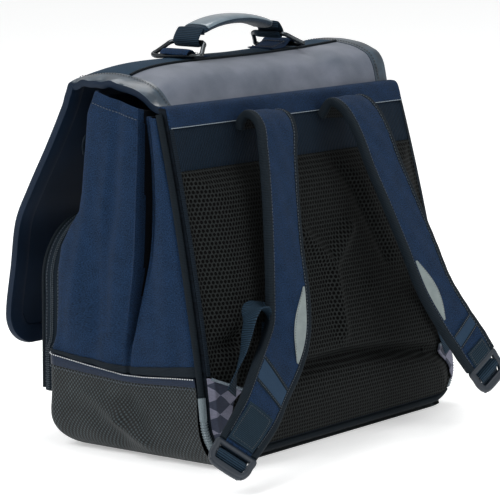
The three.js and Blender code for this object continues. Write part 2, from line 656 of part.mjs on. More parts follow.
const yokeTop = BACK_HEIGHT - FACING_HEIGHT;
const padTop = yokeTop - YOKE_HEIGHT;
const padInset = slabInset + GAP + EDGING_WIDTH;
const padHalf = (z) => halfWidth(z) - padInset - roundIn(z, CORNER_RADIUS);
const padTaper = 2.6 * PAD_THICKNESS;

function padThickness(x, z) {
  const side = padHalf(z) - Math.abs(x);
  const inside = clamp(Math.min(side, z - PAD_FOOT, 1.4 * (padTop - z)) / padTaper, 0, 1);
  const crown = Math.sin(inside * (Math.PI / 2));
  return PAD_EDGE + crown * (PAD_THICKNESS - PAD_EDGE + padRelief(x, z));
}

function meshPad() {
  return backPatch('mesh_pad', airMesh(), {
    low: PAD_FOOT,
    high: padTop - GAP,
    rows: 20,
    left: (z) => -padHalf(z),
    right: (z) => padHalf(z),
    columns: 22,
    liftAt: () => GAP,
    wallAt: padThickness,
  });
}

const GORE_HEIGHT = 55;
const GORE_FOOT = 18;
const GORE_WIDTH = 32;

function backTrims() {
  const edge = (z) => halfWidth(z) - edgeInset(z, slabInset + GAP);
  const edging = (name, sign) => backPatch(name, slateWebbing(), {
    low: GORE_FOOT + GORE_HEIGHT + 2,
    high: yokeTop - GAP,
    rows: 8,
    left: (z) => sign * (edge(z) - EDGING_WIDTH + GAP),
    right: (z) => sign * edge(z),
    columns: 1,
    liftAt: () => GAP,
    wallAt: () => EDGING_WALL,
  });
  const goreTop = GORE_FOOT + GORE_HEIGHT;
  const inner = (z) => {
    const t = clamp((z - GORE_FOOT) / (GORE_HEIGHT - GORE_WIDTH * 0.4), 0, 1);
    const fall = clamp((z - goreTop + GORE_WIDTH * 0.4) / (GORE_WIDTH * 0.4), 0, 1);
    return edge(z) - 1 - t * GORE_WIDTH * (1 - fall);
  };
  const gore = (name, sign) => backPatch(name, greyCloth(), {
    low: GORE_FOOT,
    high: goreTop,
    rows: 9,
    left: (z) => sign * inner(z),
    right: (z) => sign * edge(z),
    columns: 3,
    liftAt: (x, z) => 7 * GAP + padThickness(x, z),
    wallAt: () => GORE_WALL,
  });
  return [
    backPatch('top_facing', navyCloth(), {
      low: yokeTop,
      high: BACK_HEIGHT,
      rows: 2,
      left: (z) => -edge(z),
      right: edge,
      columns: 1,
      liftAt: () => GAP,
      wallAt: () => FACING_WALL,
    }),
    backPatch('yoke_band', slateWebbing(), {
      low: padTop,
      high: yokeTop - GAP,
      rows: 3,
      left: (z) => -padHalf(z),
      right: padHalf,
      columns: 1,
      liftAt: () => GAP,
      wallAt: () => YOKE_WALL,
    }),
    edging('pad_edging_right', 1),
    edging('pad_edging_left', -1),
    gore('corner_gore_right', 1),
    gore('corner_gore_left', -1),
  ];
}

// Flap

const flapHalf = FLAP_WIDTH / 2;

// Point on the outer face of the flap at x and a fractional row of its table
function flapPoint(x, row) {
  const side = clamp(Math.abs(x) / flapHalf, 0, 1);
  const middle = between(FLAP, row, 'middle');
  const edge = x > 0
    ? (between(FLAP, row, 'near') - middle) * side ** FLAP_DROOP_POWER
    : (between(FLAP, row, 'far') - middle) * side ** FLAP_LIFT_POWER;
  return new THREE.Vector3(
    x,
    between(FLAP, row, 'place') * BODY_DEPTH,
    (middle + edge) * BACK_HEIGHT,
  );
}

const hemRow = FLAP.length - 1;
// Length along the middle of the flap for each fine step, to place the hem and its corners
const flapRows = steps(hemRow * 8).map((t) => t * hemRow);
const flapLengths = flapRows.reduce((found, row, i) => {
  const step = i === 0 ? 0 : flapPoint(0, row).distanceTo(flapPoint(0, flapRows[i - 1]));
  return [...found, { row, length: (i === 0 ? 0 : found[i - 1].length) + step }];
}, []);
const flapLength = flapLengths[flapLengths.length - 1].length;
const rowAt = (length) => lookUp(flapLengths, 'length', length, 'row');
const lengthAt = (row) => lookUp(flapLengths, 'row', row, 'length');

function flapNormal(x, row) {
  const reach = 0.12;
  const across = flapPoint(x + 2, row).sub(flapPoint(x - 2, row));
  const along = flapPoint(x, Math.min(row + reach, hemRow))
    .sub(flapPoint(x, Math.max(row - reach, 0)));
  return across.cross(along).negate().normalize();
}
const offFlap = (x, length, lift) => {
  const row = rowAt(length);
  return flapPoint(x, row).addScaledVector(flapNormal(x, row), lift);
};

// Piece of the flap between two lengths and two heights over its outer face, where the lower
// edge may round its corners
function flapPiece(name, material, options) {
  const { half, from, to, rows, columns, corner, outer, inner } = options;
  const face = (lift) => gridOf(steps(rows), steps(columns), (u, v) => {
    const x = mix(-half, half, u);
    const over = clamp((Math.abs(x) - half + corner) / Math.max(corner, 1), 0, 1);
    const end = to - corner * (1 - Math.sqrt(1 - over * over));
    return offFlap(x, mix(from, end, v), lift);
  });
  return twoFaces(name, material, face(outer), face(inner));
}

function flapPanels() {
  const half = flapHalf - BINDING_WIDTH - GAP;
  const rope = lengthAt(FLAP_ROPE_ROW);
  const front = lengthAt(FLAP_CORNER_ROW) + 4;
  const step = lengthAt(FLAP_STEP_ROW);
  const hem = flapLength - BINDING_WIDTH - GAP;
  const corner = FLAP_CORNER_RADIUS - BINDING_WIDTH;
  const wall = { outer: 0, inner: -FLAP_WALL };
  return [
    flapPiece('flap_rear_panel', greyCloth(), {
      half, from: 0, to: rope - GAP, rows: 6, columns: 10, corner: 0, ...wall,
    }),
    flapPiece('flap_top_strip', slateWebbing(), {
      half, from: rope, to: front - GAP, rows: 8, columns: 8, corner: 0, ...wall,
    }),
    flapPiece('flap_front_panel', navyCloth(), {
      half, from: front, to: hem, rows: 14, columns: 8, corner, ...wall,
    }),
    flapPiece('flap_lower_panel', navyCloth(), {
      half: half - 1,
      from: step,
      to: hem - 1,
      rows: 6,
      columns: 8,
      corner,
      outer: LOWER_PANEL_WALL,
      inner: 4 * GAP,
    }),
    flapPiece('flap_lining', navyCloth(), {
      half: half - 2 * GAP,
      from: 0.4 * BINDING_WIDTH,
      to: hem,
      rows: 20,
      columns: 8,
      corner,
      outer: -FLAP_WALL - LINING_GAP,
      inner: -FLAP_WALL - LINING_GAP - LINING_WALL,
    }),
  ];
}

// Edge binding down one side of the flap, round both lower corners and up the other side
function flapBinding() {
  const down = steps(24).map((t) => t * (flapLength - FLAP_CORNER_RADIUS));
  const turns = steps(5).slice(1).map((t) => t * (Math.PI / 2));
  const edgeLine = (inset, lift) => {
    const radius = FLAP_CORNER_RADIUS - inset;
    const half = flapHalf - inset;
    const middle = flapLength - FLAP_CORNER_RADIUS;
    const side = (sign) => [
      ...down.map((s) => [sign * half, s]),
      ...turns.map((turn) => [
        sign * (half - radius + radius * Math.cos(turn)),
        middle + radius * Math.sin(turn),
      ]),
    ];
    const foot = [0.33, 0.67].map((t) => [mix(half - radius, radius - half, t), middle + radius]);
    return [...side(1), ...foot, ...side(-1).reverse()].map(([x, s]) => offFlap(x, s, lift));
  };
  const face = (lift) => [0, 0.5, 1].map((t) => edgeLine(t * BINDING_WIDTH, lift));
  const depth = FLAP_WALL + LINING_GAP + LINING_WALL + BINDING_PROUD;
  return twoFaces('flap_binding', glossyTrim(), face(BINDING_PROUD), face(-depth));
}

// Handle

const stripTop = (x, y) => {
  const low = FLAP_ROPE_ROW;
  const rows = steps(24).map((t) => mix(low, FLAP_CORNER_ROW, t));
  const nearest = rows.reduce((best, row) => (
    Math.abs(flapPoint(x, row).y - y) < Math.abs(flapPoint(x, best).y - y) ? row : best), low);
  return flapPoint(x, nearest).z;
};
const HANDLE_PLACE = -0.225;
const handleY = HANDLE_PLACE * BODY_DEPTH;
const RING_LEAN = 18;
const RING_RISE = 14;

function handleRing(name, sign) {
  const footX = HANDLE_X + sign * (HANDLE_SPAN / 2);
  const topX = footX - sign * RING_LEAN;
  const seat = (y) => stripTop(footX, handleY + y) + RING_WIRE + 7 * GAP;
  const front = seat(-0.42 * RING_BASE);
  const rear = seat(0.3 * RING_BASE);
  const foot = (y) => mix(front, rear, clamp(y / (0.72 * RING_BASE) + 0.583, 0, 1)) + GAP;
  const top = seat(0) + RING_RISE;
  const corners = [
    [-RING_BASE / 2, 0], [RING_BASE / 2, 0], [RING_TOP / 2, 1], [-RING_TOP / 2, 1],
  ];
  const path = corners.flatMap(([y, t], i) => {
    const [nextY, nextT] = corners[(i + 1) % corners.length];
    return [0.08, 0.5, 0.92].map((u) => {
      const [across, rise] = [mix(y, nextY, u), mix(t, nextT, u)];
      return new THREE.Vector3(
        mix(footX, topX, rise),
        handleY + across,
        mix(foot(across), top, rise),
      );
    });
  });
  return loopBar(name, darkSteel(), path, RING_WIRE);
}

// Round wire along a closed path that lies in one plane
function loopBar(name, material, path, radius, sides = 6) {
  const count = path.length;
  const centre = new THREE.Vector3();
  path.forEach((p) => centre.addScaledVector(p, 1 / count));
  const flat = new THREE.Vector3();
  path.forEach((p, i) => {
    const next = path[(i + 1) % count];
    flat.add(new THREE.Vector3().crossVectors(
      p.clone().sub(centre),
      next.clone().sub(centre),
    ));
  });
  flat.normalize();
  const rings = path.map((p, i) => {
    const before = path[(i + count - 1) % count];
    const after = path[(i + 1) % count];
    const along = new THREE.Vector3().subVectors(after, before).normalize();
    const across = new THREE.Vector3().crossVectors(flat, along).normalize();
    return Array.from({ length: sides }, (unused, k) => {
      const angle = (2 * Math.PI * (k + 0.5)) / sides;
      return p.clone()
        .addScaledVector(across, radius * Math.cos(angle))
        .addScaledVector(flat, radius * Math.sin(angle));
    });
  });
  return skin(name, material, rings, true);
}

// Flat webbing along points with its width along Y
function webAlongX(name, material, path, width, wall) {
  const grid = path.map((p) => [-0.5, 0.5].map((t) => new THREE.Vector3(
    p.x,
    handleY + t * width,
    p.z,
  )));
  return sheet(name, material, grid, wall);
}

function handle() {
  const top = stripTop(HANDLE_X, handleY);
  const gripHalf = HANDLE_SPAN / 2 - RING_LEAN - 9;
  const archAt = (t) => HANDLE_HEIGHT - HANDLE_DROP * Math.abs(2 * t - 1) ** 2.2;
  const section = (t, grow) => {
    const x = HANDLE_X + mix(-gripHalf, gripHalf, t);
    const z = top + archAt(t) - GRIP_THICKNESS / 2;
    const w = GRIP_WIDTH / 2 + grow;
    const h = GRIP_THICKNESS / 2 + grow;
    const shape = [
      [-1, -0.35], [-0.7, -1], [0, -1.1], [0.7, -1], [1, -0.35], [1, 0.35], [0.72, 0.95], [0, 1.1],
      [-0.72, 0.95], [-1, 0.35],
    ];
    return shape.map(([y, up]) => new THREE.Vector3(x, handleY + y * w, z + up * h));
  };
  const gripRings = steps(14).map((t) => section(t, 0));
  const topFace = (grow) => steps(12).map((t) => {
    const ring = section(mix(0.03, 0.97, t), grow);
    return [6, 7, 8].map((k) => ring[k]);
  });
  const pieces = [
    skin('handle_grip', navyCloth(), gripRings),
    twoFaces('handle_grip_top', glossyTrim(), topFace(GAP + GRIP_TOP_WALL), topFace(GAP)),
  ];
  for (const [side, sign] of [['right', 1], ['left', -1]]) {
    const footX = HANDLE_X + sign * (HANDLE_SPAN / 2);
    const topX = footX - sign * RING_LEAN;
    const foot = stripTop(footX, handleY) + RING_WIRE + 7 * GAP;
    const ringTop = foot + RING_RISE;
    const gripX = HANDLE_X + sign * (gripHalf + GAP);
    const gripZ = top + archAt(0) - GRIP_THICKNESS / 2;
    const clear = RING_WIRE + GAP + WEB_WALL + 0.2;
    const tab = [
      new THREE.Vector3(gripX + sign * 2.6, 0, gripZ - 3),
      new THREE.Vector3(gripX + sign * 3, 0, gripZ + 2),
      new THREE.Vector3(gripX + sign * 5, 0, gripZ + 3.5),
      new THREE.Vector3(mix(gripX, topX, 0.6) + sign * 5, 0, mix(gripZ, ringTop, 0.5) + 3),
      new THREE.Vector3(topX + sign * clear, 0, ringTop + 1),
      new THREE.Vector3(topX, 0, ringTop - clear),
      new THREE.Vector3(topX - sign * clear, 0, ringTop + 1),
    ];
    pieces.push(webAlongX(
      `handle_tab_${side}`,
      slateWebbing(),
      tab,
      RING_TOP - 4 * RING_WIRE,
      sign * -WEB_WALL,
    ));
    pieces.push(handleRing(`handle_ring_${side}`, sign));
    const low = (x) => stripTop(x, handleY) + GAP;
    const anchor = [
      new THREE.Vector3(footX - sign * 30, 0, low(footX - sign * 30) + WEB_WALL),
      new THREE.Vector3(footX - sign * 14, 0, low(footX - sign * 14) + WEB_WALL + 1),
      new THREE.Vector3(footX - sign * 5, 0, foot + clear),
      new THREE.Vector3(footX + sign * 1, 0, foot + clear),
      new THREE.Vector3(footX + sign * clear, 0, foot + 1),
    ];
    pieces.push(webAlongX(`handle_anchor_${side}`, navyCloth(), anchor, 33, sign * WEB_WALL));
  }
  return pieces;
}

// Shoulder straps

// Frame of a strap at a fractional row: its centre, width direction, run and face direction
function strapFrame(table, row) {
  const at = (column) => between(table, row, column);
  const place = (r) => {
    const z = between(table, r, 'z') * BACK_HEIGHT;
    return new THREE.Vector3(
      between(table, r, 'x') * BODY_WIDTH,
      backY(z) + GAP + YOKE_WALL + between(table, r, 'out') * STRAP_REACH,
      z,
    );
  };
  const turn = THREE.MathUtils.degToRad(at('turn'));
  const tilt = THREE.MathUtils.degToRad(at('tilt'));
  const centre = place(row);
  const reach = 0.05;
  const run = place(Math.min(row + reach, table.length - 1))
    .sub(place(Math.max(row - reach, 0)))
    .normalize();
  const across = new THREE.Vector3(
    Math.cos(turn) * Math.cos(tilt),
    -Math.sin(turn) * Math.cos(tilt),
    Math.sin(tilt),
  );
  across.addScaledVector(run, -across.dot(run)).normalize();
  const face = new THREE.Vector3().crossVectors(across, run).normalize();
  return { centre, run, across, face, width: at('width') * STRAP_WIDTH };
}

// Piece that runs along a strap between two shares of its length. Its edges are given across
// the strap as functions of the half width, and it lies between two heights over the centre.
function alongStrap(name, material, table, options) {
  const { from, to, count, inner, outer, low, high } = options;
  const last = table.length - 1;
  const rings = steps(count).map((t) => {
    const frame = strapFrame(table, mix(from, to, t) * last);
    const half = frame.width / 2;
    const [a, b] = [inner(half, t), outer(half, t)];
    return [[a, low], [b, low], [b, high], [a, high]].map(([across, up]) => frame.centre.clone()
      .addScaledVector(frame.across, across)
      .addScaledVector(frame.face, up));
  });
  return skin(name, material, rings);
}

const UP = new THREE.Vector3(0, 0, 1);

// Flat webbing that starts at the gore, loops over and runs down inside the strap to the buckle
function strapWebbing(name, webbing, table) {
  const last = table.length - 1;
  const depth = STRAP_THICKNESS / 2 + 3 * GAP + WEB_WALL;
  const free = webbing.map((row) => {
    const z = row.z * BACK_HEIGHT;
    return {
      centre: new THREE.Vector3(row.x * BODY_WIDTH, backY(z) + row.out * STRAP_REACH, z),
      across: new THREE.Vector3(1, 0, 0).applyAxisAngle(UP, THREE.MathUtils.degToRad(row.turn)),
    };
  });
  const start = last - 4.2;
  const tied = steps(6).map((t) => {
    const frame = strapFrame(table, mix(start, last, t));
    return {
      centre: frame.centre.clone().addScaledVector(frame.face, -depth),
      across: frame.across,
    };
  });
  const stations = [...free, ...tied];
  const grid = stations.map((station, i) => {
    const before = stations[Math.max(i - 1, 0)].centre;
    const after = stations[Math.min(i + 1, stations.length - 1)].centre;
    const run = new THREE.Vector3().subVectors(after, before).normalize();
    const across = station.across.clone().addScaledVector(run, -station.across.dot(run));
    across.normalize();
    return [-0.5, 0.5].map((t) => station.centre.clone()
      .addScaledVector(across, t * WEBBING_WIDTH));
  });
  return sheet(name, slateWebbing(), grid, WEB_WALL / 2);
}

// Ladder buckle: a plate with two slots beyond the tip of the strap
function buckle(name, table) {
  const frame = strapFrame(table, table.length - 1);
  const [w, l] = [BUCKLE_WIDTH / 2, BUCKLE_LENGTH];
  const plate = new THREE.Shape();
  plate.moveTo(-w, 0);
  plate.lineTo(w, 0);
  plate.lineTo(w, l * 0.7);
  plate.quadraticCurveTo(w * 0.8, l, 0, l);
  plate.quadraticCurveTo(-w * 0.8, l, -w, l * 0.7);
  for (const [low, high] of [[0.17, 0.36], [0.52, 0.71]]) {
    const slot = new THREE.Path();
    const half = WEBBING_WIDTH / 2 + 1;
    slot.moveTo(-half, low * l);
    slot.lineTo(half, low * l);
    slot.lineTo(half, high * l);
    slot.lineTo(-half, high * l);
    plate.holes.push(slot);
  }
  const geometry = new THREE.ExtrudeGeometry(plate, {
    depth: BUCKLE_THICKNESS,
    bevelEnabled: false,
    curveSegments: 5,
  });
  geometry.translate(0, 0, -BUCKLE_THICKNESS / 2);
  const mesh = new THREE.Mesh(geometry, hardPlastic());
  mesh.matrix.makeBasis(frame.across, frame.run, frame.face);
  mesh.quaternion.setFromRotationMatrix(mesh.matrix);
  mesh.position.copy(frame.centre).addScaledVector(frame.run, BUCKLE_OFFSET);
  mesh.name = name;
  return mesh;
}

function strap(side, table, webbing, outerSign) {
  const half = STRAP_THICKNESS / 2;
  const lining = -half + STRAP_LINING;
  const whole = { from: 0, to: 1, count: 24 };
  const edge = (sign) => ({
    ...whole,
    inner: (w) => sign * (w - STRAP_BINDING + GAP),
    outer: (w) => sign * w,
    low: -half - 0.4,
    high: half + 0.4,
  });
  const patch = (options) => ({
    count: 5,
    low: half + 2 * GAP,
    high: half + 2 * GAP + STRAP_TRIM_WALL,
    ...options,
  });
  return [
    alongStrap(`strap_pad_${side}`, navyCloth(), table, {
      ...whole,
      inner: (w) => -(w - STRAP_BINDING),
      outer: (w) => w - STRAP_BINDING,
      low: lining + GAP,
      high: half,
    }),
    alongStrap(`strap_lining_${side}`, airMesh(), table, {
      ...whole,
      inner: (w) => -(w - STRAP_BINDING),
      outer: (w) => w - STRAP_BINDING,
      low: -half,
      high: lining,
    }),
    alongStrap(`strap_binding_outer_${side}`, darkBinding(), table, edge(outerSign)),
    alongStrap(`strap_binding_inner_${side}`, darkBinding(), table, edge(-outerSign)),
    alongStrap(`strap_reflector_${side}`, reflectiveTape(), table, patch({
      from: 0.63,
      to: 0.785,
      count: 8,
      inner: (w, t) => -outerSign
        * (w - STRAP_BINDING - 2 - REFLECTOR_WIDTH * Math.sin(Math.PI * mix(0.03, 0.97, t))),
      outer: (w) => -outerSign * (w - STRAP_BINDING - 1),
    })),
    alongStrap(`strap_label_${side}`, slateWebbing(), table, patch({
      from: 0.835,
      to: 0.888,
      inner: (w) => -(w - STRAP_BINDING),
      outer: (w) => w - STRAP_BINDING,
    })),
    alongStrap(`webbing_patch_${side}`, slateWebbing(), table, patch({
      from: 0.925,
      to: 0.995,
      inner: (w) => -Math.min(WEBBING_WIDTH / 2, w - STRAP_BINDING),
      outer: (w) => Math.min(WEBBING_WIDTH / 2, w - STRAP_BINDING),
    })),
    buckle(`strap_buckle_${side}`, table),
    strapWebbing(`strap_webbing_${side}`, webbing, table),
  ];
}

// Front pocket

const POCKET_SEAM = frontTrimTop + 1;
const TRIM_STEP = 8;

// Outline of the pocket in X and Z, drawn in by an inset, from the foot round the top
function pocketLine(inset) {
  const half = POCKET_WIDTH / 2 - inset;
  const foot = POCKET_FOOT + inset;
  const top = POCKET_TOP - inset;
  const radius = Math.max(POCKET_RADIUS - inset, 4);
  const turns = steps(6).map((t) => t * (Math.PI / 2));
  const seams = [foot, POCKET_SEAM, POCKET_SEAM + TRIM_STEP, mix(foot, top - radius, 0.8)];
  return [
    ...seams.map((z) => [half, z]),
    ...turns.map((turn) => [
      half - radius + radius * Math.cos(turn),
      top - radius + radius * Math.sin(turn),
    ]),
    [0, top],
    ...[...turns].reverse().map((turn) => [
      radius - half - radius * Math.cos(turn),
      top - radius + radius * Math.sin(turn),
    ]),
    ...[...seams].reverse().map((z) => [-half, z]),
  ];
}
// The pocket starts on the boot below and on the front panel above
function pocketSeat(z) {
  const boot = -BODY_DEPTH / 2 - 1 - GAP;
  const rise = frontEdgeY(Math.min(z, 0.5 * BACK_HEIGHT)) - 2 * GAP;
  return mix(boot, rise, clamp((z - POCKET_SEAM) / TRIM_STEP, 0, 1));
}
const pocketRing = (inset, depth) => pocketLine(inset)
  .map(([x, z]) => new THREE.Vector3(x, pocketSeat(z) - depth, z));
const pocketFace = frontEdgeY(0.5 * BACK_HEIGHT) - POCKET_DEPTH;
const flatRing = (inset, y) => pocketLine(inset).map(([x, z]) => new THREE.Vector3(x, y, z));

function frontPocket() {
  const wall = ZIP_WALL + GAP;
  const pipe = 2 * POCKET_PIPING_RADIUS + GAP;
  const dome = pocketFace - POCKET_DOME;
  const rings = [
    flatRing(POCKET_TOP / 2.6, dome),
    flatRing(POCKET_RADIUS * 0.6, dome + 0.15 * POCKET_DOME),
    flatRing(POCKET_RADIUS * 0.25, dome + 0.5 * POCKET_DOME),
    flatRing(pipe, pocketFace),
    flatRing(pipe, pocketFace + pipe + 0.5),
    flatRing(wall, pocketFace + pipe + 1),
    pocketRing(wall, 0),
    pocketRing(wall + CLOTH, 0),
    flatRing(wall + CLOTH, pocketFace + pipe + 1 + CLOTH),
    flatRing(pipe + CLOTH, pocketFace + CLOTH),
    flatRing(POCKET_RADIUS * 0.25 + CLOTH, dome + 0.5 * POCKET_DOME + CLOTH),
    flatRing(POCKET_TOP / 2.6, dome + CLOTH),
  ];
  return skin('front_pocket', navyCloth(), rings);
}

function pocketTrims() {
  const line = pocketLine(0);
  const inner = pocketLine(ZIP_WALL);
  const seat = (z) => pocketSeat(z) - 1;
  const ends = (z) => Math.max(seat(z) - ZIP_WIDTH, pocketFace + 2 * POCKET_PIPING_RADIUS + 1);
  const outerGrid = [];
  const innerGrid = [];
  line.forEach(([x, z], i) => {
    outerGrid.push([new THREE.Vector3(x, seat(z), z), new THREE.Vector3(x, ends(z), z)]);
    const [ix, iz] = inner[i];
    innerGrid.push([new THREE.Vector3(ix, seat(z), iz), new THREE.Vector3(ix, ends(z), iz)]);
  });
  const pipe = pocketLine(POCKET_PIPING_RADIUS)
    .map(([x, z]) => new THREE.Vector3(x, pocketFace + POCKET_PIPING_RADIUS, z));
  const sliderZ = POCKET_TOP + GAP;
  const sliderY = mix(pocketSeat(POCKET_TOP), pocketFace, 0.5);
  const slider = new THREE.Mesh(new THREE.BoxGeometry(24, 8, 4), darkSteel());
  slider.position.set(-POCKET_WIDTH / 4, sliderY, sliderZ + 2);
  slider.name = 'zip_slider';
  return [
    twoFaces('pocket_zip', darkBinding(), outerGrid, innerGrid),
    pocketPiping(pipe),
    slider,
  ];
}

function pocketPiping(pipe) {
  const flat = new THREE.Vector3(0, 1, 0);
  const rings = pipe.map((p, i) => {
    const before = pipe[Math.max(i - 1, 0)];
    const after = pipe[Math.min(i + 1, pipe.length - 1)];
    const along = new THREE.Vector3().subVectors(after, before).normalize();
    const across = new THREE.Vector3().crossVectors(flat, along).normalize();
    return Array.from({ length: 6 }, (unused, k) => {
      const angle = (2 * Math.PI * k) / 6;
      return p.clone()
        .addScaledVector(across, POCKET_PIPING_RADIUS * Math.cos(angle))
        .addScaledVector(flat, POCKET_PIPING_RADIUS * Math.sin(angle));
    });
  });
  return skin('pocket_piping', darkBinding(), rings);
}

// Plain clasps on the pocket's face, hidden behind the flap
const CLASP_WIDTH = 34;
const CLASP_HEIGHT = 30;
const CLASP_THICKNESS = 7;
function clasps() {
  return [['right', 1], ['left', -1]].map(([side, sign]) => {
    const mesh = new THREE.Mesh(
      new THREE.BoxGeometry(CLASP_WIDTH, CLASP_THICKNESS, CLASP_HEIGHT),
      hardPlastic(),
    );
    mesh.position.set(
      sign * POCKET_WIDTH / 5,
      pocketFace - POCKET_DOME - GAP - CLASP_THICKNESS / 2,
      mix(POCKET_FOOT, POCKET_TOP, 0.5),
    );
    mesh.name = `flap_clasp_${side}`;
    return mesh;
  });
}

const bag = new THREE.Group();
bag.add(
  baseBoot(),
  baseTrim(),
  ...gussets(),
  frontPanel(),
  divider(),
  backPanel(),
  ...backEdges(),
  meshPad(),
  ...backTrims(),
  ...flapPanels(),
  flapBinding(),
  ...handle(),
  ...strap('right', RIGHT_STRAP, RIGHT_WEBBING, 1),
  ...strap('left', LEFT_STRAP, LEFT_WEBBING, -1),
  frontPocket(),
  ...pocketTrims(),
  ...clasps(),
);
bag.rotation.y = -leanAngle;
bag.position.z = LIFT;

const satchel = new THREE.Group();
satchel.add(bag);

export default satchel;
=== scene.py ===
import math
import bpy
import numpy as np
from mathutils import Matrix, Vector


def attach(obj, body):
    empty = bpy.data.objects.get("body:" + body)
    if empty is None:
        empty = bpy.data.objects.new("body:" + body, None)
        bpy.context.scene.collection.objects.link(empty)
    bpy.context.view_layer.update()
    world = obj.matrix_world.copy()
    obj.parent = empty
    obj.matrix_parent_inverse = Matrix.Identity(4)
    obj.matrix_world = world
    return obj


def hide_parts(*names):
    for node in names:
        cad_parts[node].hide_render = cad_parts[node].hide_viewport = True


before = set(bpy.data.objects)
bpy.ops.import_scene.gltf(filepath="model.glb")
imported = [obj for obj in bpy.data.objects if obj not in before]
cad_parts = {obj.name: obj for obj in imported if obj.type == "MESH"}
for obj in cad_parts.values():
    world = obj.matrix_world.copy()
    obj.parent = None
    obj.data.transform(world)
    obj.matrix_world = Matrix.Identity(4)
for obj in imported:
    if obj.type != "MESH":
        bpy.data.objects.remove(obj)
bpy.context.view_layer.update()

# Camera
# Stands behind the wearer's right side, a little above the bag, with a long lens. The bag
# leans by a small angle, so the picture is rolled to the photograph's upright.
CAMERA_PLACE = (2.3396, 1.9336, 0.6786)
CAMERA_RIGHT = (-0.6359, 0.7716, -0.0167)
CAMERA_UP = (-0.1382, -0.0926, 0.9860)
CAMERA_BACK = (0.7593, 0.6293, 0.1655)
camera = bpy.data.objects.new("photo_camera", bpy.data.cameras.new("photo_camera"))
camera.data.lens = 231.9
camera.data.sensor_width = 36
camera.data.clip_end = 30
camera.matrix_world = Matrix.Translation(CAMERA_PLACE) @ Matrix(
    (CAMERA_RIGHT, CAMERA_UP, CAMERA_BACK)
).transposed().to_4x4()
bpy.context.scene.collection.objects.link(camera)
bpy.context.scene.camera = camera
bpy.context.scene.view_settings.view_transform = "Standard"


# Floor and light
# White paper sweep under a white tent: one large soft lamp high on the camera's left, a
# weaker one on its right, and an even white surround that keeps the shadows open.
def linear(hex_colour):
    """Linear RGBA of an sRGB hex colour."""
    parts = [int(hex_colour[i:i + 2], 16) / 255 for i in (1, 3, 5)]
    return tuple(
        c / 12.92 if c <= 0.04045 else ((c + 0.055) / 1.055) ** 2.4 for c in parts) + (1.0,)


def add(tree, kind, inputs=None, **settings):
    """Adds a shader node with its settings, and links or fills the inputs that are named."""
    made = tree.nodes.new(kind)
    for key, value in settings.items():
        setattr(made, key, value)
    for key, value in (inputs or {}).items():
        if isinstance(value, bpy.types.NodeSocket):
            tree.links.new(value, made.inputs[key])
        else:
            made.inputs[key].default_value = value
    return made


def new_material(name):
    """Material with an empty tree, its Principled shader and its output."""
    material = bpy.data.materials.new(name)
    material.use_nodes = True
    tree = material.node_tree
    tree.nodes.clear()
    shader = add(tree, "ShaderNodeBsdfPrincipled")
    add(tree, "ShaderNodeOutputMaterial", {"Surface": shader.outputs[0]})
    return material, tree, shader


paper, tree, shader = new_material("white_paper")
shader.inputs["Base Color"].default_value = linear("#f7f8f8")
shader.inputs["Roughness"].default_value = 0.9
shader.inputs["Emission Color"].default_value = (1, 1, 1, 1)
shader.inputs["Emission Strength"].default_value = 0.38
FLOOR_REACH = 14
FLOOR_DROP = 0.0005
FLOOR_CORNERS = ((-1, -1), (1, -1), (1, 1), (-1, 1))
floor_mesh = bpy.data.meshes.new("floor")
floor_mesh.from_pydata(
    [(x * FLOOR_REACH, y * FLOOR_REACH, -FLOOR_DROP) for x, y in FLOOR_CORNERS], [], [(0, 1, 2, 3)])
floor_mesh.materials.append(paper)
floor = bpy.data.objects.new("floor", floor_mesh)
bpy.context.scene.collection.objects.link(floor)

world = bpy.data.worlds.new("white_tent")
world.use_nodes = True
world.node_tree.nodes["Background"].inputs["Color"].default_value = (1, 1, 1, 1)
world.node_tree.nodes["Background"].inputs["Strength"].default_value = 0.56
bpy.context.scene.world = world
LAMPS = (
    # name, place, size, watts
    ("key_lamp", (2.2, -0.6, 2.4), 1.6, 46),
    ("back_lamp", (-0.4, 2.6, 2.0), 1.8, 24),
    ("top_lamp", (-0.6, -0.8, 2.6), 1.4, 22),
)
LAMP_AIM = Vector((0, 0, 0.15))
for name, place, size, watts in LAMPS:
    lamp = bpy.data.objects.new(name, bpy.data.lights.new(name, "AREA"))
    lamp.data.size = size
    lamp.data.energy = watts
    lamp.location = place
    lamp.rotation_euler = (LAMP_AIM - Vector(place)).to_track_quat("-Z", "Y").to_euler()
    bpy.context.scene.collection.objects.link(lamp)


# Padded back: stiff board
# Foam and board slab in dark slate polyester canvas. Its face leans in towards the top, and the lower
# corners are round. The whole bag sits a little higher than the floor on its soft bottom.
BODY_WIDTH = 380
TOP_WIDTH = 355
BODY_DEPTH = 200
BACK_HEIGHT = 312
BACK_LEAN = 66
BACK_CURVE = 1.3
SLAB = 8
GAP = 0.3
CORNER_RADIUS = 38
PIPING_INSET = 0.5
SLAB_INSET = PIPING_INSET + 3.7 + 2 * GAP
LIFT = 7.5
LEAN_ANGLE = math.radians(1.5)
SAG_HEIGHT = 60


def mix(a, b, t):
    return a + (b - a) * t


def smooth(t):
    t = np.clip(t, 0, 1)
    return t * t * (3 - 2 * t)


def pile(x, y, z):
    """Points from three arrays or numbers."""
    return np.stack(np.broadcast_arrays(*[np.asarray(v, float) for v in (x, y, z)]), -1)


def half_width(z):
    return mix(BODY_WIDTH, TOP_WIDTH, z / BACK_HEIGHT) / 2


def back_y(z):
    return BODY_DEPTH / 2 - BACK_LEAN * np.maximum(z / BACK_HEIGHT, 0) ** BACK_CURVE


def on_back(x, depth, z):
    """Point on the back, at a depth over its face."""
    level = -x * math.tan(LEAN_ANGLE) * (1 - smooth(z / SAG_HEIGHT))
    return pile(x, back_y(z) + depth, z + level)


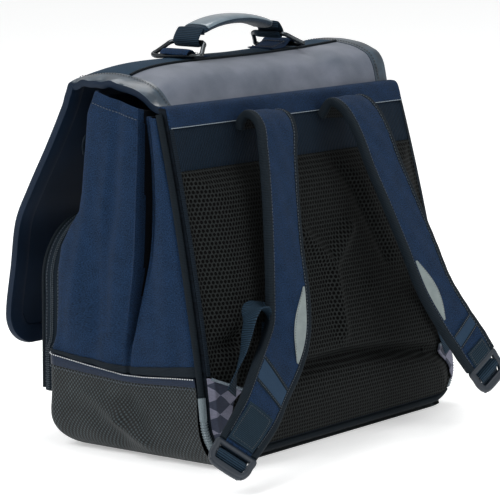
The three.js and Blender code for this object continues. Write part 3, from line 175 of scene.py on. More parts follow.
def edge_inset(z, width):
    """How far an outline set in by a width lies from the side, round the lower corner."""
    radius = CORNER_RADIUS - width
    rise = np.clip(CORNER_RADIUS - z, 0, radius)
    return np.where(z >= CORNER_RADIUS, width, CORNER_RADIUS - np.sqrt(radius ** 2 - rise ** 2))


def stand(points):
    """Upright millimetres of the bag to metres of the frame, with its lean and lift."""
    c, s = math.cos(LEAN_ANGLE), math.sin(LEAN_ANGLE)
    x, y, z = np.moveaxis(np.asarray(points, float), -1, 0)
    return np.stack([x * c - z * s, y, x * s + z * c + LIFT], -1) / 1000


def unit(vectors):
    """The same directions at length one."""
    return vectors / np.maximum(np.linalg.norm(vectors, axis=-1, keepdims=True), 1e-9)


def make_piece(name, points, faces, flat, material, nodes=(), sharp=40):
    """Mesh piece of the bag. flat holds the cloth's own place of each point in millimetres."""
    mesh = bpy.data.meshes.new(name)
    points = stand(points)
    faces = np.asarray(faces, int)
    corner = points[faces]
    if (np.einsum("ij,ij->i", corner[:, 0], np.cross(corner[:, 1], corner[:, 2])).sum()
            + np.einsum("ij,ij->i", corner[:, 0], np.cross(corner[:, 2], corner[:, 3])).sum()) < 0:
        faces = faces[:, ::-1]
    mesh.from_pydata(points.tolist(), [], faces.tolist())
    layer = mesh.uv_layers.new(name="cloth_mm")
    layer.data.foreach_set("uv", np.asarray(flat, float)[faces.ravel()].ravel())
    mesh.materials.append(material)
    mesh.validate()
    mesh.update()
    mesh.shade_smooth()
    mesh.set_sharp_from_angle(angle=math.radians(sharp))
    piece = bpy.data.objects.new(name, mesh)
    bpy.context.scene.collection.objects.link(piece)
    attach(piece, "root")
    if nodes:
        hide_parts(*nodes)
    return piece


def quads_of(at):
    """Four-sided faces between the rows and columns of a grid of point numbers."""
    return np.stack([at[:-1, :-1], at[:-1, 1:], at[1:, 1:], at[1:, :-1]], -1).reshape(-1, 4)


def two_faces(name, outer, inner, flat, material, nodes=(), slot=None, sharp=40):
    """Closed cloth between two grids of points, turned over at its rim."""
    rows, columns = outer.shape[:2]
    count = rows * columns
    at = np.arange(count).reshape(rows, columns)
    quads = quads_of(at)
    rim = np.concatenate([at[0, :-1], at[:-1, -1], at[-1, :0:-1], at[:0:-1, 0]])
    after = np.roll(rim, -1)
    middle = 0.5 * (outer.reshape(-1, 3)[rim] + inner.reshape(-1, 3)[rim])
    away = outer.reshape(-1, 3)[rim] - inner.reshape(-1, 3)[rim]
    wall = np.linalg.norm(away, axis=1, keepdims=True)
    along = np.roll(middle, -1, 0) - np.roll(middle, 1, 0)
    out = unit(np.cross(along, away))
    centre = outer.reshape(-1, 3).mean(0)
    if np.einsum("ij,ij->i", out, middle - centre).sum() < 0:
        out = -out
    ring = np.arange(len(rim)) + 2 * count
    ring_after = np.roll(ring, -1)
    walls = np.concatenate([
        np.stack([rim, after, ring_after, ring], -1),
        np.stack([ring, ring_after, after + count, rim + count], -1),
    ])
    faces = np.concatenate([quads[:, ::-1], quads + count, walls])
    points = np.concatenate([
        outer.reshape(-1, 3), inner.reshape(-1, 3), middle + out * np.minimum(0.3 * wall, 0.6)])
    flat = np.asarray(flat, float).reshape(-1, 2)
    flat = np.concatenate([flat, flat, flat[rim]])
    return make_piece(name, points, faces, flat, material, nodes, sharp)


def face_normals(grid):
    """Unit normals of a grid of points."""
    return unit(np.cross(np.gradient(grid, axis=0), np.gradient(grid, axis=1)))


def grid_of(u, v, make):
    """Values of a function over rows v and columns u."""
    return make(*np.meshgrid(u, v))


# Blender's wave texture repeats every 2 pi / 20 units at scale 1
WAVE_SCALE = 0.314


def cloth_material(name):
    """Material, its tree and shader, and the cloth's own place in millimetres."""
    material, tree, shader = new_material(name)
    return material, tree, shader, add(tree, "ShaderNodeUVMap", uv_map="cloth_mm").outputs[0]


def surface(tree, shader, colour, height, relief, depth, invert=False):
    """Gives the shader its colour, and a relief from a height that is depth metres deep."""
    tree.links.new(colour.outputs[2], shader.inputs["Base Color"])
    bump = add(tree, "ShaderNodeBump", {"Strength": relief, "Distance": depth, "Height": height},
               invert=invert)
    tree.links.new(bump.outputs[0], shader.inputs["Normal"])


def canvas(name, lit, deep, thread, relief, sheen=0.25):
    """Woven polyester canvas: matt and slightly fuzzy, with cloudy dye and coarse threads.
    thread is drawn a few times coarser than real, so that it shows in a picture."""
    material, tree, shader, place = cloth_material(name)
    cloud = add(tree, "ShaderNodeTexNoise", {"Vector": place, "Scale": 1 / 14, "Detail": 3.0})
    grain = add(tree, "ShaderNodeTexNoise", {"Vector": place, "Scale": 1 / thread, "Detail": 1.0})
    wave = {"Vector": place, "Scale": WAVE_SCALE / thread, "Distortion": 0.6, "Detail Scale": 2.0}
    warp = add(tree, "ShaderNodeTexWave", wave, bands_direction="X")
    weft = add(tree, "ShaderNodeTexWave", wave, bands_direction="Y")
    woven = add(tree, "ShaderNodeMath", {0: warp.outputs["Fac"], 1: weft.outputs["Fac"]},
                operation="ADD")
    tone = add(tree, "ShaderNodeMath", {0: cloud.outputs["Fac"], 1: 0.25}, operation="MULTIPLY")
    tone = add(tree, "ShaderNodeMath", {0: grain.outputs["Fac"], 1: 0.95, 2: tone.outputs[0]},
               operation="MULTIPLY_ADD")
    tone = add(tree, "ShaderNodeMath", {0: woven.outputs[0], 1: 0.12, 2: tone.outputs[0]},
               operation="MULTIPLY_ADD")
    ramp = add(tree, "ShaderNodeMapRange", {"Value": tone.outputs[0], "From Min": 0.5, "From Max": 0.92})
    colour = add(tree, "ShaderNodeMix", {0: ramp.outputs[0], 6: linear(deep), 7: linear(lit)},
                 data_type="RGBA")
    height = add(tree, "ShaderNodeMath", {0: grain.outputs["Fac"], 1: 1.2, 2: woven.outputs[0]},
                 operation="MULTIPLY_ADD")
    surface(tree, shader, colour, height.outputs[0], relief, 0.0004)
    shader.inputs["Roughness"].default_value = 0.82
    shader.inputs["Specular IOR Level"].default_value = 0.1
    shader.inputs["Sheen Weight"].default_value = sheen
    shader.inputs["Sheen Roughness"].default_value = 0.5
    return material


navy_canvas = canvas("navy_polyester_canvas", "#1b3454", "#07131f", 1.1, relief=0.5, sheen=0.02)
# Near-black cloth that paints the shade deep inside the gussets' pleats
pleat_painted_shade_cloth = canvas("pleat_painted_shade_nylon", "#090e16", "#04070b", 1.5, relief=0.25, sheen=0.02)
board_cloth = canvas("dark_slate_board_cloth", "#121b24", "#080d13", 1.5, relief=0.3, sheen=0.03)

heights = np.concatenate([
    mix(SLAB_INSET, CORNER_RADIUS, np.linspace(0, 1, 14) ** 2),
    np.linspace(CORNER_RADIUS + 6, BACK_HEIGHT, 40)])
across = np.linspace(-1, 1, 61)


def slab_face(depth):
    def point(u, z):
        return on_back(u * (half_width(z) - edge_inset(z, SLAB_INSET)), depth, z)
    return grid_of(across, heights, point)


flat = grid_of(across, heights, lambda u, z: np.stack([u * half_width(z), z], -1))
two_faces("back_board", slab_face(0), slab_face(-SLAB), flat, board_cloth, ["back_panel"],
          "navy_cloth")


# Mesh pad
# Foam under black spacer mesh, knitted with open holes. Moulding left a raised Y, sunk lines
# beside it and a crease above the foot of the pad, which stands proud in soft ridges.
PAD_THICKNESS = 17
PAD_EDGE = 2.5
PAD_FOOT = 7
FACING_HEIGHT = 18
YOKE_HEIGHT = 38
EDGING_WIDTH = 8
EDGING_FOOT = 75
# The mesh and the yoke reach over most of the edge tapes
MESH_REACH = 4.6
YOKE_TOP = BACK_HEIGHT - FACING_HEIGHT
PAD_TOP = YOKE_TOP - YOKE_HEIGHT
# The moulding is drawn deeper than in the solid, so that it shows under an even light
PAD_RELIEF = 1.5
PAD_LINES = (
    # x0, z0, x1, z1, reach, rise: shares of half the width, BACK_HEIGHT and PAD_THICKNESS
    (0.00, 0.300, 0.00, 0.500, 0.45, 0.26),
    (0.00, 0.500, 0.18, 0.600, 0.45, 0.26),
    (0.17, 0.830, 0.30, 0.710, 0.50, -0.26),
    (0.30, 0.710, 0.46, 0.500, 0.50, -0.26),
    (0.00, 0.225, 0.36, 0.215, 0.36, -0.50),
    (0.36, 0.215, 0.68, 0.185, 0.36, -0.50),
    (0.68, 0.185, 0.90, 0.150, 0.40, -0.42),
    (0.76, 0.335, 0.98, 0.305, 0.45, -0.45),
    (0.30, 0.420, 0.70, 0.330, 0.60, 0.10),
)


def line_relief(a, b, lines, unit_a, unit_b, unit):
    """Height of rounded lines over a face, the strongest at each place."""
    rise = np.zeros_like(a)
    for a0, b0, a1, b1, reach, height in lines:
        start = np.array([a0 * unit_a, b0 * unit_b])
        run = np.array([a1 * unit_a, b1 * unit_b]) - start
        off = np.stack([a, b], -1) - start
        t = np.clip((off @ run) / (run @ run), 0, 1)
        distance = np.linalg.norm(off - t[..., None] * run, axis=-1) / (reach * unit)
        share = height * np.exp(-distance ** 2)
        rise = np.where(np.abs(share) > np.abs(rise), share, rise)
    return rise * unit


def round_in(z, radius, foot=0.0):
    """How far a rounded bottom edge draws in at a height."""
    rise = np.clip((radius + foot - z) / radius, 0, 1)
    return radius * (1 - np.sqrt(1 - rise ** 2))


def pad_half(z):
    return half_width(z) - SLAB_INSET - GAP - EDGING_WIDTH - round_in(z, CORNER_RADIUS)


def pad_thickness(x, z):
    side = pad_half(z) - np.abs(x)
    inside = np.clip(np.minimum(np.minimum(side, z - PAD_FOOT), 1.4 * (PAD_TOP - z))
                     / (2.6 * PAD_THICKNESS), 0, 1)
    relief = line_relief(np.abs(x), z, PAD_LINES, BODY_WIDTH / 2, BACK_HEIGHT, PAD_THICKNESS)
    crown = np.sin(inside * math.pi / 2)
    return PAD_EDGE + crown * (PAD_THICKNESS - PAD_EDGE + PAD_RELIEF * relief)


def spacer_mesh(name, thread, hole, pitch):
    """Knitted spacer mesh: dull olive-black threads round staggered dark holes.
    pitch is the real distance between holes in millimetres."""
    material, tree, shader, place = cloth_material(name)
    waves = []
    for turn in (90, 210, 330):
        k = 2 * math.pi / (pitch * 0.866)
        aim = (k * math.cos(math.radians(turn)), 0.82 * k * math.sin(math.radians(turn)), 0)
        phase = add(tree, "ShaderNodeVectorMath", {0: place, 1: aim}, operation="DOT_PRODUCT")
        waves.append(add(tree, "ShaderNodeMath", {0: phase.outputs["Value"]}, operation="COSINE"))
    total = waves[0]
    for wave in waves[1:]:
        total = add(tree, "ShaderNodeMath", {0: total.outputs[0], 1: wave.outputs[0]}, operation="ADD")
    open_hole = add(tree, "ShaderNodeMapRange",
                    {"Value": total.outputs[0], "From Min": -0.7, "From Max": 0.8},
                    interpolation_type="SMOOTHSTEP")
    cloud = add(tree, "ShaderNodeTexNoise", {"Vector": place, "Scale": 1 / 3, "Detail": 2.0})
    shade = add(tree, "ShaderNodeMapRange", {"Value": cloud.outputs["Fac"], "From Min": 0.3,
                                             "From Max": 0.7, "To Min": 0.6, "To Max": 1.0})
    colour = add(tree, "ShaderNodeMix", {0: open_hole.outputs[0], 6: linear(thread), 7: linear(hole)},
                 data_type="RGBA")
    dyed = add(tree, "ShaderNodeMix", {0: 1.0, 6: colour.outputs[2], 7: shade.outputs[0]},
               data_type="RGBA", blend_type="MULTIPLY")
    surface(tree, shader, dyed, open_hole.outputs[0], 1.0, 0.0012, invert=True)
    shader.inputs["Roughness"].default_value = 0.85
    shader.inputs["Specular IOR Level"].default_value = 0.08
    return material


back_mesh = spacer_mesh("black_spacer_mesh", "#252828", "#010101", 3.7)
rows = np.linspace(PAD_FOOT, PAD_TOP - GAP, 116)
columns = np.linspace(-1, 1, 131)
flat = grid_of(columns, rows,
               lambda u, z: np.stack([u * (pad_half(z) + MESH_REACH), z * 1.02], -1))


def pad_face(fill):
    """Face of the pad, stuffed by a fill of 1 or empty on the board by a fill of 0."""
    def point(u, z):
        x = u * (pad_half(z) + MESH_REACH)
        return on_back(x, GAP + fill * pad_thickness(x, z), z)
    return grid_of(columns, rows, point)


mesh_pad = two_faces("mesh_pad_foam", pad_face(1), pad_face(0), flat, back_mesh, ["mesh_pad"],
                     "air_mesh")


# Yoke band, facing and edgings of the back
# Ribbed slate-blue elastic band over the shoulders, a navy facing folded over the top edge of
# the board with a chain of pale stitches, and narrow tapes that hold the pad down its sides.
def ribbed_band(name, lit, deep, pitch, along="V", relief=0.8, rough=0.7):
    """Woven narrow fabric: polyester threads in close ribs, each rib's crest painted lighter as a dull
    painted highlight.
    pitch is the distance between ribs in millimetres, along the cloth's V or U."""
    material, tree, shader, place = cloth_material(name)
    ribs = add(tree, "ShaderNodeTexWave",
               {"Vector": place, "Scale": WAVE_SCALE / pitch, "Distortion": 0.35, "Detail Scale": 1.5},
               bands_direction="Y" if along == "V" else "X")
    grain = add(tree, "ShaderNodeTexNoise", {"Vector": place, "Scale": 1 / 1.4, "Detail": 2.0})
    cloud = add(tree, "ShaderNodeTexNoise", {"Vector": place, "Scale": 1 / 18, "Detail": 2.0})
    # The rib wave sets the colour as well as the bump: a painted highlight on each crest
    tone = add(tree, "ShaderNodeMath", {0: grain.outputs["Fac"], 1: 0.7, 2: ribs.outputs["Fac"]},
               operation="MULTIPLY_ADD")
    tone = add(tree, "ShaderNodeMath", {0: cloud.outputs["Fac"], 1: 0.5, 2: tone.outputs[0]},
               operation="MULTIPLY_ADD")
    ramp = add(tree, "ShaderNodeMapRange", {"Value": tone.outputs[0], "From Min": 0.45, "From Max": 1.5})
    colour = add(tree, "ShaderNodeMix", {0: ramp.outputs[0], 6: linear(deep), 7: linear(lit)},
                 data_type="RGBA")
    surface(tree, shader, colour, tone.outputs[0], relief, 0.0005)
    shader.inputs["Roughness"].default_value = rough
    shader.inputs["Specular IOR Level"].default_value = 0.1
    return material


yoke_elastic = ribbed_band("ribbed_slate_elastic", "#122333", "#02060a", 2.3, along="U", relief=1.2)
edge_tape = ribbed_band("slate_binding_tape", "#131e28", "#080e14", 1.6)


def back_patch(name, low, high, left, right, lift, wall, material, nodes, slot, count=(40, 60)):
    """Cloth that lies on the back between two heights and two half widths."""
    def face(over):
        def point(u, z):
            x = mix(left(z), right(z), u)
            return on_back(x, over(x, z), z)
        return grid_of(np.linspace(0, 1, count[1]), np.linspace(low, high, count[0]), point)
    outer = face(lambda x, z: lift(x, z) + wall(x, z))
    flat = outer[..., [0, 2]]
    return two_faces(name, outer, face(lift), flat, material, nodes, slot)


def edge_half(z):
    return half_width(z) - edge_inset(z, SLAB_INSET + GAP)


def flush(x, z):
    return GAP + 0 * x


def yoke_wall(x, z):
    crown = np.clip(np.minimum(z - PAD_TOP, YOKE_TOP - z) / 6, 0, 1)
    waves = 0.5 * np.sin(x / 17 + 0.06 * z) * np.exp(-((np.abs(x) - 70) / 60) ** 2)
    return 1.2 + 0.9 * np.sin(crown * math.pi / 2) + 0.35 * waves


def tape_wall(x, z):
    return 2.0 + 0.6 * np.sin(np.clip((edge_half(z) - np.abs(x)) / EDGING_WIDTH, 0, 1) * math.pi)


back_patch("yoke_elastic_band", PAD_TOP, YOKE_TOP - GAP, lambda z: -pad_half(z) - MESH_REACH,
           lambda z: pad_half(z) + MESH_REACH, flush, yoke_wall, yoke_elastic, ["yoke_band"],
           "slate_webbing", (18, 110))
SIDES = (("right", 1), ("left", -1))
for side, sign in SIDES:
    back_patch(f"pad_edge_tape_{side}", EDGING_FOOT, YOKE_TOP - GAP,
               lambda z: sign * (edge_half(z) - EDGING_WIDTH + MESH_REACH + GAP),
               lambda z: sign * edge_half(z), flush, tape_wall, edge_tape,
               [f"pad_edging_{side}"], "slate_webbing", (90, 9))

FACING_PROFILE = (
    # depth over the back's face, height over the yoke
    (0.3, 0.0), (1.6, 0.4), (2.4, 2.0), (2.8, 6.0), (2.9, 11.0), (2.6, 15.6), (1.2, 18.4),
    (-1.6, 19.5), (-5.0, 19.7), (-8.4, 19.5),
)


def curve_at(a, b, c, d, t):
    """Smooth value on the way from b to c, with a before them and d after."""
    return b + 0.5 * t * (c - a + t * (2 * a - 5 * b + 4 * c - d + t * (3 * (b - c) + d - a)))


def spline(points, count, closed=False):
    """Points along a smooth curve through the given ones."""
    points = np.asarray(points, float)
    last = len(points) if closed else len(points) - 1
    at = np.linspace(0, last, count, endpoint=not closed)
    i = np.minimum(np.floor(at).astype(int), last - 1)
    near = [(i + k) % len(points) if closed else np.clip(i + k, 0, len(points) - 1)
            for k in (-1, 0, 1, 2)]
    return curve_at(*(points[k] for k in near), (at - i)[:, None])


def lengths_along(path):
    """Length from the start of a path to each of its points."""
    return np.concatenate([[0], np.cumsum(np.linalg.norm(np.diff(path, axis=0), axis=1))])


def flat_of(across, along):
    """The cloth's own place of each point of a grid, in millimetres."""
    return np.stack(np.broadcast_arrays(across, along), -1)


profile = spline(FACING_PROFILE, 30)
columns = np.linspace(-1, 1, 100)
x = columns[None, :] * edge_half(YOKE_TOP + profile[:, 1:2])
ripple = 0.35 * np.sin(x / 23 + 1.3) + 0.25 * np.sin(x / 9.5)
depth = profile[:, 0:1] + 0 * x
height = YOKE_TOP + profile[:, 1:2] + 0 * x
puff = np.exp(-((profile[:, 1:2] - 8) / 6) ** 2) * (profile[:, 0:1] > 0)
outer = pile(x, back_y(np.minimum(height, BACK_HEIGHT)) + depth + ripple * puff, height)
inner = pile(x, back_y(np.minimum(height, BACK_HEIGHT)) + np.minimum(depth, GAP + 0.1)
             * (depth > 0) + depth * (depth <= 0), np.minimum(height, BACK_HEIGHT + 0.4))
two_faces("top_facing_cloth", outer, inner, flat_of(x, lengths_along(profile)[:, None]),
          navy_canvas, ["top_facing"], "navy_cloth")


# Piping, tubes and bottom binding of the back
# A cord in a dark slate tape runs up both edges. On the lower corners it turns into a silver
# sleeve, smooth at its upper end and ribbed below, and a bound cord closes the foot of the board.
TUBE_TOP = 56
CORD_RADIUS = 3.0
CORD_SINK = 0.6
SLEEVE_RADIUS = 3.6
SLEEVE_PLAIN = 17
SLEEVE_RIB = 2.5
SEAM_RADIUS = 2.5
FOOT_CORD_RADIUS = 3.5


def loft(name, rings, material, nodes=(), closed=False, twist=0.0, sharp=60):
    """Skin through rings of equally many points, with a low fan on both ends."""
    rings = np.asarray(rings, float)
    count, sides = rings.shape[:2]
    middle = rings.mean(1)
    run = lengths_along(middle)
    wrapped = np.concatenate([rings, rings[:, :1]], 1)
    edge = np.linalg.norm(np.diff(wrapped, axis=1), axis=-1).mean(0)
    around = np.concatenate([[0], np.cumsum(edge)])[:-1]
    flat = flat_of(around[None], run[:, None] + twist * around[None])
    at = np.arange(count * sides).reshape(count, sides)
    wrap = np.concatenate([at, at[:, :1]], 1)
    if closed:
        wrap = np.concatenate([wrap, wrap[:1]], 0)
    faces = quads_of(wrap)
    points, flat = rings.reshape(-1, 3), flat.reshape(-1, 2)
    if not closed:
        along = unit(np.stack([middle[0] - middle[1], middle[-1] - middle[-2]]))
        points = np.concatenate([points, middle[[0, -1]] + 0.3 * along])
        flat = np.concatenate([flat, [[0, 0], [0, run[-1]]]])
        total, last = count * sides, (count - 1) * sides
        fans = [[(total, c, b, k), (total + 1, last + k, last + b, last + c)]
                for k, b, c in ((k, (k + 1) % sides, (k + 2) % sides) for k in range(0, sides, 2))]
        faces = np.concatenate([faces, *fans])
    return make_piece(name, points, faces, flat, material, nodes, sharp)


def ring_angles(count):
    """Angles of a number of points evenly round a ring."""
    return np.arange(count) * 2 * math.pi / count


def rod(name, path, radius, material, nodes=(), sides=20, closed=False, lie=(0, 1, 0),
        flatten=1.0, twist=0.0):
    """Cord along a dense path. Its radius is one number or one for each point, and flatten is
    its height over its width, where lie is a direction that it keeps flat against."""
    path = np.asarray(path, float)
    along = np.roll(path, -1, 0) - np.roll(path, 1, 0)
    if not closed:
        along[0], along[-1] = path[1] - path[0], path[-1] - path[-2]
    along = unit(along)
    side = unit(np.cross(along, lie))
    over = np.cross(side, along) * flatten
    turn = ring_angles(sides)[:, None]
    size = np.broadcast_to(np.asarray(radius, float), (len(path),))[:, None, None]
    rings = path[:, None] + size * (side[:, None] * np.cos(turn) + over[:, None] * np.sin(turn))
    return loft(name, rings, material, nodes, closed, twist)


def corner_point(angle):
    radius = CORNER_RADIUS - PIPING_INSET
    z = CORNER_RADIUS - radius * np.sin(angle)
    return half_width(z) - CORNER_RADIUS + radius * np.cos(angle), z


cord_tape = ribbed_band("dark_slate_piping_tape", "#131c23", "#080d11", 1.4, relief=0.5)
# Glass-bead reflective film: grey in soft light, with a faint pearly light and fine grain.
sleeve, tree, shader, place = cloth_material("silver_reflective_sleeve")
grain = add(tree, "ShaderNodeTexNoise", {"Vector": place, "Scale": 1 / 1.2, "Detail": 2.0})
colour = add(tree, "ShaderNodeMix", {0: grain.outputs["Fac"], 6: linear("#4c575c"), 7: linear("#76838a")},
             data_type="RGBA")
tree.links.new(colour.outputs[2], shader.inputs["Base Color"])
shader.inputs["Roughness"].default_value = 0.38
shader.inputs["Metallic"].default_value = 0.25

for side, sign in SIDES:
    z = np.linspace(TUBE_TOP + GAP, 0.985 * BACK_HEIGHT, 160)
    depth = -SLAB / 2 - CORD_SINK + 0.3 * np.sin(z / 31)
    rod(f"edge_piping_{side}", on_back(sign * (half_width(z) - PIPING_INSET), depth, z),
        CORD_RADIUS, cord_tape, [f"back_piping_{side}"])
    z = np.linspace(TUBE_TOP, CORNER_RADIUS, 110)[:-1]
    x = half_width(z) - PIPING_INSET
    turn_x, turn_z = corner_point(np.linspace(0, math.radians(47), 170))
    x, z = np.concatenate([x, turn_x]), np.concatenate([z, turn_z])
    path = on_back(sign * x, -SLAB / 2, z)
    ribbed = smooth((TUBE_TOP - SLEEVE_PLAIN - z) / 4)
    ribs = 0.5 * np.sin(2 * math.pi * lengths_along(path) / SLEEVE_RIB) - 0.35
    radius = SLEEVE_RADIUS + ribbed * ribs
    radius[:3] -= (1.0, 0.45, 0.1)
    rod(f"corner_sleeve_{side}", path, radius, sleeve, [f"corner_tube_{side}"])
    # Folded seam allowance of the side cloth, sewn in between the board and the sides
    z = np.linspace(24, 0.95 * BACK_HEIGHT, 80)
    x = half_width(z) - SEAM_RADIUS - 2 - round_in(z, CORNER_RADIUS)
    rod(f"side_seam_allowance_{side}", on_back(sign * x, -SLAB - CORD_SINK, z), SEAM_RADIUS,
        board_cloth, (), sides=10)

turn_x, turn_z = corner_point(np.linspace(math.radians(52), math.pi / 2, 30))
middle = np.linspace(turn_x[-1], -turn_x[-1], 160)[1:-1]
x = np.concatenate([turn_x, middle, -turn_x[::-1]])
z = np.concatenate([turn_z, np.full(len(middle), turn_z[-1]), turn_z[::-1]])
rod("foot_binding_cord", on_back(x, -SLAB / 2, z), FOOT_CORD_RADIUS, cord_tape,
    ["bottom_binding"])


# Corner gores
# Triangles of check-printed cloth over the lower corners of the pad, sewn down with a pale
# stitched edge on their slanting top.
GORE_HEIGHT = 55
GORE_FOOT = 18
GORE_WIDTH = 32
GORE_SLANT = 0.4 * GORE_WIDTH
GORE_TOP = GORE_FOOT + GORE_HEIGHT
# Plain-woven polyester with a slanting check in grey and slate, about 14 mm from edge to edge.
check_cloth, tree, shader, place = cloth_material("printed_check_cloth")
turned = add(tree, "ShaderNodeMapping", {"Vector": place, "Scale": (0.7, 1.0, 1.0),
                                           "Rotation": (0, 0, math.radians(38))})
check = add(tree, "ShaderNodeTexChecker", {"Vector": turned.outputs[0], "Scale": 1 / 12.0})
check.inputs["Color1"].default_value = linear("#6a6b7c")
check.inputs["Color2"].default_value = linear("#252c3e")
grain = add(tree, "ShaderNodeTexNoise", {"Vector": place, "Scale": 1 / 1.6, "Detail": 2.0})
shade = add(tree, "ShaderNodeMapRange", {"Value": grain.outputs["Fac"], "From Min": 0.3,
                                         "From Max": 0.7, "To Min": 0.82, "To Max": 1.08})
dyed = add(tree, "ShaderNodeMix", {0: 1.0, 6: check.outputs["Color"], 7: shade.outputs[0]},
           data_type="RGBA", blend_type="MULTIPLY")
surface(tree, shader, dyed, grain.outputs["Fac"], 0.4, 0.0003)
shader.inputs["Roughness"].default_value = 0.8
pale_tape = ribbed_band("pale_seam_tape", "#87929c", "#4c5863", 1.3, relief=0.4)


def gore_inner(z):
    t = np.clip((z - GORE_FOOT) / (GORE_HEIGHT - GORE_SLANT), 0, 1)
    fall = np.clip((z - GORE_TOP + GORE_SLANT) / GORE_SLANT, 0, 1)
    return edge_half(z) - 1 - t * GORE_WIDTH * (1 - fall)


def gore_lift(x, z):
    """The gore lies on the pad and comes down to the board at its outer edge."""
    on_pad = smooth((edge_half(z) - np.abs(x)) / 4)
    return GAP + on_pad * (6 * GAP + pad_thickness(x, z))


slant_z = np.linspace(GORE_TOP - GORE_SLANT, GORE_TOP, 40)
slant_x = gore_inner(slant_z)
for side, sign in SIDES:
    back_patch(f"corner_gore_cloth_{side}", GORE_FOOT, GORE_TOP,
               lambda z: sign * gore_inner(z), lambda z: sign * edge_half(z),
               gore_lift, lambda x, z: 1.6 + 0 * x,
               check_cloth, [f"corner_gore_{side}"], "check_cloth", (60, 30))
    depth = 7 * GAP + pad_thickness(slant_x, slant_z) + 1.5
    rod(f"gore_seam_tape_{side}", on_back(sign * slant_x, depth, slant_z), 1.3, pale_tape, (),
        sides=10)


# Boot base
# Coarse charcoal ballistic nylon, a soft tray that the bag stands on. It bags out at the front,
# wrinkles into a slanting fold under the pleat, and lies flat on the floor.
BOOT_HEIGHT = 61
BOOT_WALL = 3
BOOT_SIDE_RADIUS = 35
BOOT_FRONT_RADIUS = 28
BOOT_CORNER_RADIUS = 9
TRIM_LINE = (
    # place along BODY_DEPTH, edge of the base and top of the trim as shares of BOOT_HEIGHT
    (-0.52, 1.08, 1.26),
    (-0.25, 1.02, 1.16),
    (-0.02, 0.98, 1.09),
    (0.10, 0.99, 1.10),
    (0.28, 1.03, 1.15),
    (0.46, 1.06, 1.19),
)
BOOT_FOLDS = (
    # y0, z0, y1, z1, reach, rise: millimetres on the side, and millimetres of height
    (-50, 46, -10, 24, 8, 4.6),
    (-10, 24, 18, 5, 7, 4.2),
    (-36, 22, -12, 4, 12, -4.2),
    (-84, 52, -46, 52, 16, -1.6),
    (-8, 46, 14, 26, 10, -5.0),
    (2, 64, 4, 44, 8, -3.2),
    (26, 40, 60, 34, 16, 1.4),
    (30, 12, 70, 10, 9, -1.0),
)


def column_at(table, along, at, column):
    rows = np.asarray(table, float)
    return np.interp(at, rows[:, along], rows[:, column])


def floor_z(x):
    return -(LIFT + x * math.sin(LEAN_ANGLE)) / math.cos(LEAN_ANGLE)


def boot_ring(share, wall, proud, edge):
    """Outline round the boot at a share of its height, with its length along the way."""
    height = share * (BOOT_HEIGHT + LIFT)
    side = half_width(height) + proud - wall - round_in(height, BOOT_SIDE_RADIUS - wall, wall)
    front = -BODY_DEPTH / 2 - proud + wall + round_in(height, BOOT_FRONT_RADIUS - wall, wall)
    tongue = 0 if wall > 0 else 5 * np.clip(2.2 - height / 2, 0, 1) * min(1, 0.6 + height / 4)
    radius = BOOT_CORNER_RADIUS - wall + proud
    rear = min(back_y(column_at(TRIM_LINE, 0, 0.46, edge) * BOOT_HEIGHT * share), back_y(0.0))
    rear = rear - SLAB - 1.5 - wall + tongue
    turns = np.linspace(0, math.pi / 2, 12)
    straight = np.linspace(rear, front + radius, 70)
    x = np.concatenate([
        np.full(len(straight), side), side - radius + radius * np.cos(turns),
        np.linspace(side - radius, radius - side, 80)[1:-1],
        -(side - radius + radius * np.sin(turns)), np.full(len(straight), -side)])
    y = np.concatenate([
        straight, front + radius - radius * np.sin(turns), np.full(78, front),
        front + radius - radius * np.cos(turns), straight[::-1]])
    base = column_at(TRIM_LINE, 0, y / BODY_DEPTH, edge) * BOOT_HEIGHT - (GAP if edge == 1 else 0)
    return pile(x, y, mix(floor_z(x), base, share))


def side_dents(ring, share, calm):
    """Moves the outline in and out along its folds."""
    x, y, z = np.moveaxis(ring, -1, 0)
    on_side = smooth((np.abs(x) / half_width(30) - 0.80) / 0.12)
    fold = sum(line_relief(y, z, [f], 1, 1, 1) for f in BOOT_FOLDS)
    soft = 0.7 * np.sin(y / 19 + z / 13) + 0.5 * np.sin(y / 8.3 - z / 17) + 0.4 * np.sin(x / 27)
    fold = on_side * fold + soft
    away = np.sign(x) * on_side
    ahead = (1 - on_side) * smooth((-y - 40) / 40)
    push = calm * fold * math.sin(math.pi * min(1, 0.12 + share))
    return pile(x + away * push, y - ahead * push, z)


# Heavy basket weave: each crossing stands up, and its colour is painted lighter as a painted
# highlight on top of its bump. Two threads take 4 mm, a little coarser than real.
WEAVE = 2.0
ballistic, tree, shader, place = cloth_material("charcoal_ballistic_nylon")
knots = []
for aim in ((math.pi / WEAVE, math.pi / WEAVE, 0), (math.pi / WEAVE, -math.pi / WEAVE, 0)):
    phase = add(tree, "ShaderNodeVectorMath", {0: place, 1: aim}, operation="DOT_PRODUCT")
    knots.append(add(tree, "ShaderNodeMath", {0: phase.outputs["Value"]}, operation="COSINE"))
knot = add(tree, "ShaderNodeMath", {0: knots[0].outputs[0], 1: knots[1].outputs[0]},
           operation="ADD")
lift = add(tree, "ShaderNodeMapRange",
           {"Value": knot.outputs[0], "From Min": -0.7, "From Max": 1.8},
           interpolation_type="SMOOTHSTEP")
cloud = add(tree, "ShaderNodeTexNoise", {"Vector": place, "Scale": 1 / 22, "Detail": 3.0})
shade = add(tree, "ShaderNodeMapRange", {"Value": cloud.outputs["Fac"], "From Min": 0.3,
                                         "From Max": 0.7, "To Min": 0.75, "To Max": 1.15})
